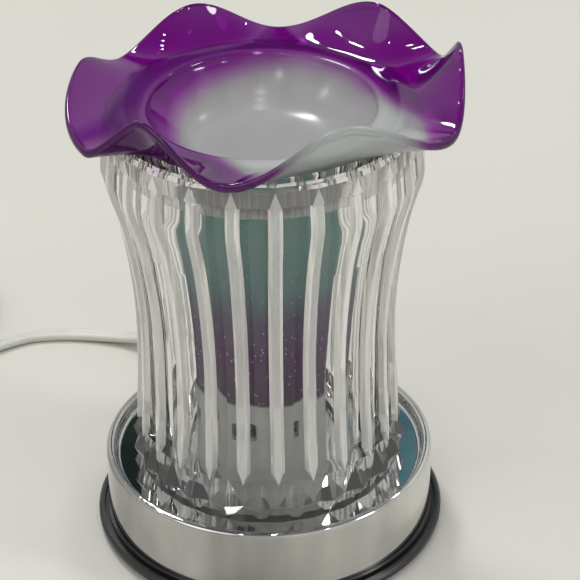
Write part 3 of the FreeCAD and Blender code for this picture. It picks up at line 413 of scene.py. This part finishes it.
# Place, aim and size of each lamp in metres, and its power in watts
lamp_aim = (0, 0, 0.08)
lamps = {
    "window_back": ((-0.35, 0.75, 1.15), lamp_aim, (0.30, 0.16), 6.0),
    "window_side": ((0.95, -0.25, 0.95), lamp_aim, (0.22, 0.30), 3.5),
    "fill": ((-0.8, -0.7, 1.0), (0, 0, 0.05), (0.9, 0.9), 2.6),
}
ceiling_row = (-0.30, -0.02, 0.26, 0.54)
spot_places = ((-0.75, 0.15, 0.95), (0.55, 0.55, 0.95), (0.65, -0.65, 1.05), (-0.30, -0.50, 1.30))
for number, away in enumerate(ceiling_row):
    lamps[f"ceiling_{number}"] = ((0.03, away, 1.5), (0.03, away, 0), (0.06, 0.06), 0.8)
for number, place in enumerate(spot_places):
    lamps[f"spot_{number}"] = (place, lamp_aim, (0.05, 0.05), 0.5)

paint_room()
for name, settings in lamps.items():
    hang_lamp(name, *settings)
print("room painted, lamps hung", len(lamps))

# %% [markdown]
# The white twin cord leaves the back of the base through its strain relief, drops to the
# table, bends away to the left and is wound up just outside the view. The route's points
# are control points of one smooth spline. The coil's points come from a loop.

# %% Route of the cord
cord_width = 5.4 * MM
cord_thickness = 2.7 * MM
exit_angle = 110.0
exit_radius = 76.0 * MM
exit_height = 11.0 * MM
lead_out = 15.0 * MM
lead_in = 20.0 * MM
free_points = (
    (-45.6 * MM, 96.6 * MM, 3.2 * MM),
    (-60.5 * MM, 101.2 * MM, 1.6 * MM),
    (-74.5 * MM, 103.2 * MM, 1.35 * MM),
    (-89.5 * MM, 101.6 * MM, 1.35 * MM),
)
coil_centre = Vector((-143.0 * MM, 116.0 * MM, 0))
coil_outer_radius = 40.2 * MM
coil_half_pitch = 3.0 * MM
coil_start_angle = -66.0
half_turns_per_layer = 7
coil_floor = 2.25 * MM
layer_rise = 3.3 * MM
points_per_half_turn = 12
tail_turn = 35.0
tail_steps = 3
tail_bend_radius = 30.0 * MM


def polar(radius, degrees, height=0.0):
    turn = math.radians(degrees)
    return Vector((radius * math.cos(turn), radius * math.sin(turn), height))


def coil_radius(half_turns):
    inward = half_turns
    if half_turns > half_turns_per_layer + 1:
        back_out = 2 * half_turns_per_layer - half_turns
        stride = min(half_turns - half_turns_per_layer - 1, 1)
        inward = half_turns_per_layer + 1 + (back_out - half_turns_per_layer - 1) * stride
        if stride < 1:
            inward = half_turns_per_layer + 1 - 3 * stride
    return coil_outer_radius - coil_half_pitch * inward


def coil_point(half_turns):
    climb = min(max(half_turns - half_turns_per_layer, 0), 1)
    height = coil_floor + climb * layer_rise
    # A spline of this order runs a little inside its control points
    spread = 8 / (6 + 2 * math.cos(math.pi / points_per_half_turn))
    return coil_centre + polar(coil_radius(half_turns) * spread,
                               coil_start_angle - 180 * half_turns, height)


def cord_route():
    out = polar(1, exit_angle)
    tip = out * exit_radius + UP * exit_height
    start = coil_centre + polar(coil_outer_radius, coil_start_angle, coil_floor)
    way = polar(1, coil_start_angle - 90)
    route = [tip, tip + out * lead_out] + [Vector(point) for point in free_points]
    route += [start - way * lead_in, start - way * cord_width]
    total = 2 * half_turns_per_layer
    route += [coil_point(k / points_per_half_turn) for k in range(1, total * points_per_half_turn)]
    place = coil_centre + polar(coil_outer_radius, coil_start_angle, coil_floor + layer_rise)
    route.append(place)
    heading = coil_start_angle - 90
    bend = tail_turn / (2 * tail_steps)
    stride = 2 * tail_bend_radius * math.sin(math.radians(bend))
    for _ in range(tail_steps):
        heading += bend
        place = place + polar(stride, heading)
        heading += bend
        route.append(place)
    route.append(place + polar(cord_width, heading))
    return route


def spline_points(route, name):
    curve = bpy.data.curves.new(name, "CURVE")
    curve.dimensions = "3D"
    spline = curve.splines.new("NURBS")
    spline.points.add(len(route) - 1)
    for point, place in zip(spline.points, route):
        point.co = (*place, 1)
    spline.order_u = 3
    spline.use_endpoint_u = True
    spline.resolution_u = 6
    holder = bpy.data.objects.new(name, curve)
    bpy.context.scene.collection.objects.link(holder)
    bpy.context.view_layer.update()
    line = bpy.data.meshes.new_from_object(holder.evaluated_get(bpy.context.evaluated_depsgraph_get()))
    places = [vertex.co.copy() for vertex in line.vertices]
    bpy.data.objects.remove(holder)
    bpy.data.meshes.remove(line)
    return places


cord_path = spline_points(cord_route(), "cord_line")
cord_length = sum((b - a).length for a, b in zip(cord_path, cord_path[1:]))
print("cord length", round(cord_length, 3), "points", len(cord_path))

# %% [markdown]
# The cord is two round wires side by side with a groove between them. Its outline is
# extruded from one point of the path to the next, and each new ring of points is turned to
# stay level, as flat cord lies on a table.

# %% Body of the cord
outline_points = 28
web_thickness = 1.1 * MM


def twin_outline():
    wire = cord_thickness / 2
    points = []
    for k in range(outline_points):
        turn = 2 * math.pi * k / outline_points
        across = cord_width / 2 * math.cos(turn)
        from_wire = abs(abs(across) - wire)
        tall = math.sqrt(max(wire ** 2 - from_wire ** 2, 0))
        if abs(across) <= wire:
            tall = max(tall, web_thickness / 2)
        points.append((across, math.copysign(tall, math.sin(turn))))
    return points


def finished_piece(name, bm, material):
    mesh = bpy.data.meshes.new(name)
    for face in bm.faces:
        face.smooth = True
    bm.to_mesh(mesh)
    bm.free()
    mesh.materials.append(material)
    piece = bpy.data.objects.new(name, mesh)
    bpy.context.scene.collection.objects.link(piece)
    return piece


def keep_normals_even(piece):
    weights = piece.modifiers.new("even_normals", "WEIGHTED_NORMAL")
    weights.keep_sharp = True


def make_cord():
    bm = bmesh.new()
    section = twin_outline()
    ring = [bm.verts.new((x, 0, z)) for x, z in section]
    bm.faces.new(ring)
    edges = list(bm.edges)
    for index, place in enumerate(cord_path):
        ahead = cord_path[min(index + 1, len(cord_path) - 1)]
        behind = cord_path[max(index - 1, 0)]
        side = (ahead - behind).cross(UP).normalized()
        top = side.cross(ahead - behind).normalized()
        if index:
            grown = bmesh.ops.extrude_edge_only(bm, edges=edges)["geom"]
            edges = [item for item in grown if isinstance(item, bmesh.types.BMEdge)
                     and all(vertex not in ring for vertex in item.verts)]
            fresh = {vertex for edge in edges for vertex in edge.verts}
            ring = [next(edge.other_vert(vertex) for edge in vertex.link_edges
                         if edge.other_vert(vertex) in fresh) for vertex in ring]
        for vertex, (across, tall) in zip(ring, section):
            vertex.co = place + side * across + top * tall
    bm.faces.new(ring)
    bmesh.ops.recalc_face_normals(bm, faces=bm.faces)
    return finished_piece("twin_cord", bm, cord_vinyl)


twin_cord = make_cord()
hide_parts("power_cord", "cord_coil")
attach(twin_cord, "base")
print("cord faces", len(twin_cord.data.polygons))

# %% [markdown]
# The dish was blown or slumped, and its rim was pulled into six uneven waves while it was
# soft. A flat grid becomes the dish: one direction of the grid runs round it, and the
# other runs from the middle of the bowl out over the rim and back under to the middle.

# %% Waves of the rim
dish_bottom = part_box("dish")[0][2]
seat_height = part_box("glass_shade")[1][2]
glass_thickness = 2.8 * MM
bowl_depth = seat_height - dish_bottom
seat_radius = 36.87 * MM
seat_width = 4.2 * MM
bowl_flat_radius = 15.0 * MM
clear_from = Vector((3 * MM, 3 * MM, 0))
clear_to = Vector((17 * MM, -25 * MM, 0))
spray_start = 24 * MM
spray_full = 38 * MM
haze_radius = 34 * MM
haze_fade = 10 * MM
wave_count = 6
low_reach = 57.6 * MM
crest_reach = 55.6 * MM
low_rise = 2.2 * MM
crest_rise = 14.4 * MM
wave_turn = 204.0
low_lean_shares = (0.12, -0.10, 0.147, 0.013, 0.004, -0.008)
crest_lean_shares = (-0.104, 0.035, 0.098, -0.135, 0.004, -0.13)
low_reach_shares = (1.034, 0.934, 1.065, 1.027, 0.903, 0.933)
crest_reach_shares = (0.919, 0.937, 1.052, 0.954, 0.939, 1.008)
low_rise_shares = (0.86, 0.66, 1.11, 1.45, 0.18, 0.18)
crest_rise_shares = (0.953, 1.065, 1.213, 0.954, 0.727, 0.556)


def wave_stations():
    step = 360 / wave_count
    stations = []
    for k in range(wave_count):
        stations.append((wave_turn + step * (k + low_lean_shares[k]),
                         low_reach * low_reach_shares[k], low_rise * low_rise_shares[k]))
        stations.append((wave_turn + step * (k + 0.5 + crest_lean_shares[k]),
                         crest_reach * crest_reach_shares[k], crest_rise * crest_rise_shares[k]))
    first = stations[0]
    return stations + [(first[0] + 360, first[1], first[2])]


def rim_at(degrees):
    stations = wave_stations()
    angle = stations[0][0] + (degrees - stations[0][0]) % 360
    for (a, reach_a, rise_a), (b, reach_b, rise_b) in zip(stations, stations[1:]):
        if a <= angle <= b:
            ease = (1 - math.cos(math.pi * (angle - a) / (b - a))) / 2
            return reach_a + (reach_b - reach_a) * ease, rise_a + (rise_b - rise_a) * ease
    return stations[0][1], stations[0][2]


print("rim at the front", [round(value / MM, 1) for value in rim_at(-90)])

# %% [markdown]
# One profile of the dish runs from the middle of the bowl up its inner side, out along the
# flare, round the edge, back under the flare and down to the middle again. It is worked
# out anew for each column of the grid, because the rim's reach and rise change from one
# to the next.

# %% Shape of the dish
columns_round = 240
edge_round = 1.1 * MM
bowl_rows = 14
bowl_overshoot = 1.02
bowl_crowding = 0.9
bowl_shares = ((0.0, 0.0), (0.34, 0.05), (0.66, 0.26), (0.88, 0.62))
inner_shares = ((0.0, 0.0), (0.34, 0.11), (0.66, 0.42), (0.88, 0.77))
mouth_shares = ((0.25, 0.33), (0.7, 0.08), (1.0, 0.0))
flare_rows = 20
flare_curve = 1.5
nose_rows = 8
ease_rows = 7
ease_passes = 14


def smooth_through(points, value):
    # A cubic curve through the points, read at value, as a draughtsman's spline would run
    xs = [x for x, _ in points]
    if value <= xs[0]:
        return points[0][1]
    if value >= xs[-1]:
        return points[-1][1]
    k = next(i for i in range(len(xs) - 1) if xs[i] <= value <= xs[i + 1])
    (x0, y0), (x1, y1) = points[k], points[k + 1]

    def slope(i):
        a = points[max(i - 1, 0)]
        b = points[min(i + 1, len(points) - 1)]
        return (b[1] - a[1]) / (b[0] - a[0])

    span = x1 - x0
    t = (value - x0) / span
    return (y0 * (1 + 2 * t) * (1 - t) ** 2 + slope(k) * span * t * (1 - t) ** 2
            + y1 * t * t * (3 - 2 * t) - slope(k + 1) * span * t * t * (1 - t))


def bowl_line(side_radius, mouth, shares):
    # From the middle of the bowl to its mouth
    bottom = mouth - bowl_depth
    line = []
    for k in range(bowl_rows):
        share = k / bowl_rows
        radius = side_radius * min(1.0, bowl_overshoot * math.sin(share * math.pi / 2) ** bowl_crowding)
        inner = max(0.0, (radius - bowl_flat_radius) / (side_radius - bowl_flat_radius))
        rise = smooth_through(list(shares) + [(1.0, 1.0)], inner)
        line.append((radius, bottom + bowl_depth * rise))
    return line


def flare_line(start, reach, base, rise):
    line = []
    for k in range(flare_rows + 1):
        share = k / flare_rows
        line.append((start + (reach - start) * k / flare_rows, base + rise * share ** flare_curve))
    return line


def dish_profile(degrees):
    # Pairs of radius and height from the inner middle to the outer middle
    reach, rise = rim_at(degrees)
    top = seat_height + glass_thickness
    seat_out = seat_radius + seat_width
    inner_mouth = seat_radius - glass_thickness
    reach -= edge_round
    start = seat_out - glass_thickness / 3
    inner = bowl_line(inner_mouth, top, inner_shares)
    mouth = [(inner_mouth + glass_thickness * along, top - glass_thickness * drop)
             for along, drop in mouth_shares]
    flare = flare_line(start, reach, top, rise)
    edge_height = top + rise - glass_thickness / 2
    nose = [(reach + edge_round * math.sin(math.pi * k / nose_rows),
             edge_height + glass_thickness / 2 * math.cos(math.pi * k / nose_rows))
            for k in range(1, nose_rows)]
    under = flare_line(seat_out, reach, seat_height, rise)[::-1]
    outer = bowl_line(seat_radius, seat_height, bowl_shares)[::-1]
    return inner + mouth + flare + nose + under + [(seat_radius, seat_height)] + outer


def spray_share(place):
    # The spray missed a streak that runs from the middle of the bowl to the front right rim
    flat = Vector((place.x, place.y, 0))
    way = clear_to - clear_from
    along = min(max((flat - clear_from).dot(way) / way.length_squared, 0), 1)
    spread = (flat - clear_from - way * along).length
    return min(max((spread - spray_start) / (spray_full - spray_start), 0), 1)


def make_dish():
    rows = len(dish_profile(0))
    bm = bmesh.new()
    bmesh.ops.create_grid(bm, x_segments=columns_round, y_segments=rows - 1, size=0.5)
    violet_layer = bm.verts.layers.float.new(violet_share)
    clear_layer = bm.verts.layers.float.new(clear_share)
    row_layer = bm.verts.layers.int.new("row")
    profiles = [dish_profile(360 * k / columns_round) for k in range(columns_round + 1)]
    for vertex in bm.verts:
        column = round((vertex.co.x + 0.5) * columns_round)
        row = round((vertex.co.y + 0.5) * (rows - 1))
        radius, height = profiles[column][row]
        vertex.co = polar(radius, 360 * column / columns_round, height)
        vertex[violet_layer] = spray_share(vertex.co)
        vertex[clear_layer] = min(max((radius - haze_radius) / haze_fade, 0), 1)
        vertex[row_layer] = row
    bmesh.ops.remove_doubles(bm, verts=bm.verts, dist=0.001 * MM)
    # The bowl runs into the flare in one soft curve, so the corner between them is eased
    brow = [vertex for vertex in bm.verts if abs(vertex[row_layer] - bowl_rows) <= ease_rows]
    for _ in range(ease_passes):
        bmesh.ops.smooth_vert(bm, verts=brow, factor=0.5,
                              use_axis_x=False, use_axis_y=False, use_axis_z=True)
    bmesh.ops.recalc_face_normals(bm, faces=bm.faces)
    return finished_piece("ruffled_dish", bm, dish_glass)


ruffled_dish = make_dish()
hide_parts("dish")
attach(ruffled_dish, "dish")
print("dish faces", len(ruffled_dish.data.polygons))

# %% [markdown]
# The shade is a thick tube of glass. Raised ribs run up it between flat panels, narrow to
# a point under the plain collar, and end above a foot cut into diamond facets. Two lists
# of shares give its waisted outline and its bore, and a third gives the section of a rib.

# %% Outline of the shade
shade_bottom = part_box("glass_shade")[0][2]
shade_height = seat_height - shade_bottom
waist_radius = 40.3 * MM
belly_radius = 48.5 * MM
wall_at_waist = 7.0 * MM
wall_at_rim = 7.8 * MM
rib_count = 24
rib_height = 1.7 * MM
rib_foot = 4.2 * MM
rib_turn = 3.75
rib_bottom = 14.0 * MM
rib_top = 114.0 * MM
foot_radius = 41.0 * MM
foot_point_radius = 43.4 * MM
foot_point_height = 6.5 * MM
rim_bevel = 1.5 * MM
crest_shares = ((0.116, 0.160), (0.170, 0.125), (0.240, 0.060), (0.330, 0.015), (0.452, 0.000),
                (0.560, 0.110), (0.660, 0.305), (0.734, 0.500), (0.793, 0.720), (0.834, 0.900),
                (0.872, 1.000), (0.946, 0.880))
bore_shares = ((0.0, 0.04), (0.30, 0.0), (0.50, 0.02), (0.70, 0.38), (0.86, 0.86), (1.0, 1.0))
# Across one rib: sideways as a share of its foot's half width, and outwards as a share
# of its height. The last column runs up the middle of the panel beside it.
rib_shares = ((-1.0, 0.0), (-0.58, 0.88), (-0.40, 1.0), (0.40, 1.0), (0.58, 0.88), (1.0, 0.0))
panel_column = len(rib_shares)
front = -90.0
rib_point_bottom = 4 * MM
ledge = 1 * MM
rib_point_top = 6 * MM
foot_dip = 1.7 * MM


def crest_at(height):
    share = smooth_through(crest_shares, height / shade_height)
    return waist_radius + (belly_radius - waist_radius) * share


def bore_at(height):
    waist = waist_radius - wall_at_waist
    crest = waist_radius + (belly_radius - waist_radius) * crest_shares[-1][1]
    rim = crest - 1.5 * rim_bevel - wall_at_rim
    return waist + (rim - waist) * smooth_through(bore_shares, height / shade_height)


def rib_width_share(height):
    return max(0.0, min((height - rib_bottom) / rib_point_bottom,
                        (rib_top - ledge + rib_point_top - height) / rib_point_top, 1.0))


def panel_depth(height):
    start = foot_dip + (rib_height - foot_dip) * min((height - rib_bottom) / rib_point_bottom, 1.0)
    return start * max(0.0, min((rib_top - ledge - height) / ledge + 1, 1.0))


print("crest at mid height", round(crest_at(0.06) / MM, 1), "bore", round(bore_at(0.06) / MM, 1))

# %% [markdown]
# The whole outer side is again one grid, with seven columns to each rib and its panel.
# Each face is told which glass it has while the grid is still flat. Where several columns
# meet in one point, as at the ends of the ribs, the faces that would fold onto each other
# are taken out, and merging the doubled points leaves clean triangles. The bore is a line
# spun a full turn, and two flat rings close the tube.

# %% Shape of the shade
body_rows = 100
collar_rows = 4
bore_rows = 40
bore_columns = 96
crease_angle = math.radians(9)
edge_drop = 0.3
facet_low = 110.0 * MM
facet_high = 118.0 * MM
foot_top = 0.98 * rib_bottom
level_tolerance = 0.01 * MM
rib_slot, facet_slot, edge_slot = 1, 2, 3


def outer_rows():
    # Height of each ring of points from the foot to the rim, and what it belongs to
    rows = [(0.0, "foot"), (foot_point_height, "points")]
    rows += [(rib_bottom + (rib_top - rib_bottom) * k / body_rows, "ribs") for k in range(body_rows + 1)]
    collar = shade_height - rim_bevel - rib_top
    rows += [(rib_top + collar * k / collar_rows, "ribs") for k in range(1, collar_rows + 1)]
    rows += [(shade_height - rim_bevel * edge_drop, "edge"), (shade_height, "rim")]
    return rows


def outer_place(column, height, kind):
    rib, part = divmod(column, panel_column + 1)
    step = 360 / rib_count
    angle = front + rib_turn + step * rib
    flat = math.cos(math.radians(step / 2))
    z = shade_bottom + height
    rim = crest_at(shade_height * crest_shares[-1][0]) - rim_bevel / 2
    radii = {"foot": foot_radius, "points": foot_point_radius - foot_dip,
             "edge": rim - rim_bevel * edge_drop, "rim": rim - rim_bevel}
    if part == panel_column:
        if kind == "points":
            return polar(foot_point_radius, angle + step / 2, z)
        if kind in radii:
            return polar(radii[kind] * flat, angle + step / 2, z)
        return polar((crest_at(height) - panel_depth(height)) * flat, angle + step / 2, z)
    if kind in radii:
        return polar(radii[kind], angle, z)
    across, out = rib_shares[part]
    width = rib_width_share(height)
    radius = crest_at(height) - panel_depth(height) * (1 - out)
    return polar(radius, angle, z) + polar(across * rib_foot / 2 * width, angle + 90)


def give_glass(bm, rows, columns):
    # Returns the faces right below the ribs' points, where a rib has no width
    rib_start = rows.index((rib_bottom, "ribs"))
    folded = []
    for face in bm.faces:
        middle = face.calc_center_median()
        column = math.floor((middle.x + 0.5) * columns) % (panel_column + 1)
        row = math.floor((middle.y + 0.5) * (len(rows) - 1))
        in_rib = column < panel_column - 1
        if row < rib_start or rows[row + 1][1] != "ribs":
            face.material_index = edge_slot
            if in_rib and row == rib_start - 1:
                folded.append(face)
        elif in_rib:
            face.material_index = rib_slot
        elif facet_low <= rows[row][0] < facet_high:
            face.material_index = facet_slot
    return folded


def make_outside(bm):
    rows = outer_rows()
    columns = rib_count * (panel_column + 1)
    bmesh.ops.create_grid(bm, x_segments=columns, y_segments=len(rows) - 1, size=0.5)
    folded = give_glass(bm, rows, columns)
    for vertex in bm.verts:
        column = round((vertex.co.x + 0.5) * columns) % columns
        height, kind = rows[round((vertex.co.y + 0.5) * (len(rows) - 1))]
        vertex.co = outer_place(column, height, kind)
    bmesh.ops.delete(bm, geom=folded, context="FACES")
    bmesh.ops.remove_doubles(bm, verts=bm.verts, dist=0.002 * MM)
    foot_faces = [face for face in bm.faces
                  if face.calc_center_median().z < shade_bottom + foot_top]
    bmesh.ops.triangulate(bm, faces=foot_faces, quad_method="SHORT_EDGE")
    return [edge for edge in bm.edges if edge.is_boundary]


def make_bore(bm, outer_edges):
    heights = [shade_height * k / bore_rows for k in range(bore_rows + 1)]
    line = [bm.verts.new((bore_at(height), 0, shade_bottom + height)) for height in heights]
    edges = [bm.edges.new(pair) for pair in zip(line, line[1:])]
    bmesh.ops.spin(bm, geom=line + edges, axis=UP, cent=(0, 0, 0), angle=2 * math.pi,
                   steps=bore_columns, use_merge=True)
    return [edge for edge in bm.edges if edge.is_boundary and edge not in outer_edges]


def make_shade():
    bm = bmesh.new()
    outer_edges = make_outside(bm)
    open_edges = outer_edges + make_bore(bm, outer_edges)
    for level in (shade_bottom, shade_bottom + shade_height):
        ends = [edge for edge in open_edges
                if all(abs(vertex.co.z - level) < level_tolerance for vertex in edge.verts)]
        bmesh.ops.bridge_loops(bm, edges=ends)
    bmesh.ops.recalc_face_normals(bm, faces=bm.faces)
    for edge in bm.edges:
        if len(edge.link_faces) == 2 and edge.calc_face_angle() > crease_angle:
            edge.smooth = False
    shade = finished_piece("ribbed_shade", bm, cut_glass)
    # Glasses for the ribs, the collar band and the edges, each with painted light in its colour
    for material in (rib_glass_painted_pale, facet_glass_painted_pinkish, edge_glass_painted_lighter):
        shade.data.materials.append(material)
    keep_normals_even(shade)
    return shade


ribbed_shade = make_shade()
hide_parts("glass_shade")
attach(ribbed_shade, "shade")
print("shade faces", len(ribbed_shade.data.polygons))

# %% [markdown]
# The sleeve is a thin turned form. A profile of a few points is spun a full turn, and the
# first and last rings are merged so that no seam shows. Faces that look inwards get the
# lining that is painted twice as bright, painted light against the shade inside the tube.

# %% Sleeve
spun_steps = 128


def spun(name, profile, material):
    bm = bmesh.new()
    line = [bm.verts.new((radius, 0, height)) for radius, height in profile]
    edges = [bm.edges.new(pair) for pair in zip(line, line[1:])]
    bmesh.ops.spin(bm, geom=line + edges, axis=UP, cent=(0, 0, 0), angle=2 * math.pi,
                   steps=spun_steps, use_merge=True)
    bmesh.ops.remove_doubles(bm, verts=bm.verts, dist=0.001 * MM)
    bmesh.ops.recalc_face_normals(bm, faces=bm.faces)
    piece = finished_piece(name, bm, material)
    keep_normals_even(piece)
    return piece


sleeve_low, sleeve_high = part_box("colour_sleeve")
sleeve_glass = 1.6 * MM
sleeve_foot_radius = 21.0 * MM
sleeve_top_radius = sleeve_high[0]
foot_bevel = sleeve_glass / 4
lip = sleeve_glass / 2
lip_steps = 8


def sleeve_profile():
    bottom = sleeve_low[2]
    top = sleeve_high[2] - lip
    bore_foot = (sleeve_foot_radius - sleeve_glass, bottom)
    outside = [bore_foot, (sleeve_foot_radius - foot_bevel, bottom),
               (sleeve_foot_radius, bottom + foot_bevel), (sleeve_top_radius, top)]
    turns = [math.pi * k / lip_steps for k in range(1, lip_steps)]
    arch = [(sleeve_top_radius - lip + lip * math.cos(turn), top + lip * math.sin(turn))
            for turn in turns]
    return outside + arch + [(sleeve_top_radius - sleeve_glass, top), bore_foot]


tinted_sleeve = spun("tinted_sleeve", sleeve_profile(), tinted_glass)
tinted_sleeve.data.materials.append(sleeve_lining_painted_light)
# Faces that look inwards get the lining painted brighter, painted light against the shade inside
for polygon in tinted_sleeve.data.polygons:
    if polygon.normal.x * polygon.center.x + polygon.normal.y * polygon.center.y < 0:
        polygon.material_index = 1
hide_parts("colour_sleeve")
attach(tinted_sleeve, "sleeve")
print("sleeve from", round(sleeve_low[2] / MM, 1), "to", round(sleeve_high[2] / MM, 1))

# %% [markdown]
# The other nodes keep their CAD shape and get a finish each. Their triangles are loose, so
# a weld, a split at the sharp edges and weighted normals make round sides look round and
# corners stay crisp. Modifiers leave the node's own points as they are.

# %% Dress the CAD nodes
finishes = {
    "lamp_cup": grey_moulding, "cup_screws": zinc_plate, "cup_washers": zinc_plate,
    "bulb_envelope": bulb_glass, "bulb_filament": filament_metal, "bulb_pins": zinc_plate,
    "lamp_socket": socket_ceramic, "socket_contacts": spring_brass, "socket_bracket": zinc_plate,
    "bracket_screws": zinc_plate, "socket_leads": lead_sleeving, "base_cover": chrome_plate,
    "base_posts": zinc_plate, "base_pan": black_moulding, "pan_screws": zinc_plate,
    "foot_pads": pad_rubber, "touch_board": board_laminate, "board_screws": zinc_plate,
    "board_components": component_moulding, "sense_lead": lead_sleeving,
    "supply_leads": lead_sleeving, "cord_bushing": white_moulding, "cord_tie": tie_nylon,
    "plug_body": white_moulding, "plug_blades": blade_plate,
}
weld_distance = 0.002 * MM
sharp_angle = math.radians(28)


def dress(node, material):
    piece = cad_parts[node]
    if not piece.material_slots:
        piece.data.materials.append(None)
    for holder in piece.material_slots:
        holder.material = material
    for polygon in piece.data.polygons:
        polygon.use_smooth = True
    weld = piece.modifiers.new("weld", "WELD")
    weld.merge_threshold = weld_distance
    split = piece.modifiers.new("split", "EDGE_SPLIT")
    split.split_angle = sharp_angle
    keep_normals_even(piece)


for node, material in finishes.items():
    dress(node, material)
print("nodes dressed", len(finishes))
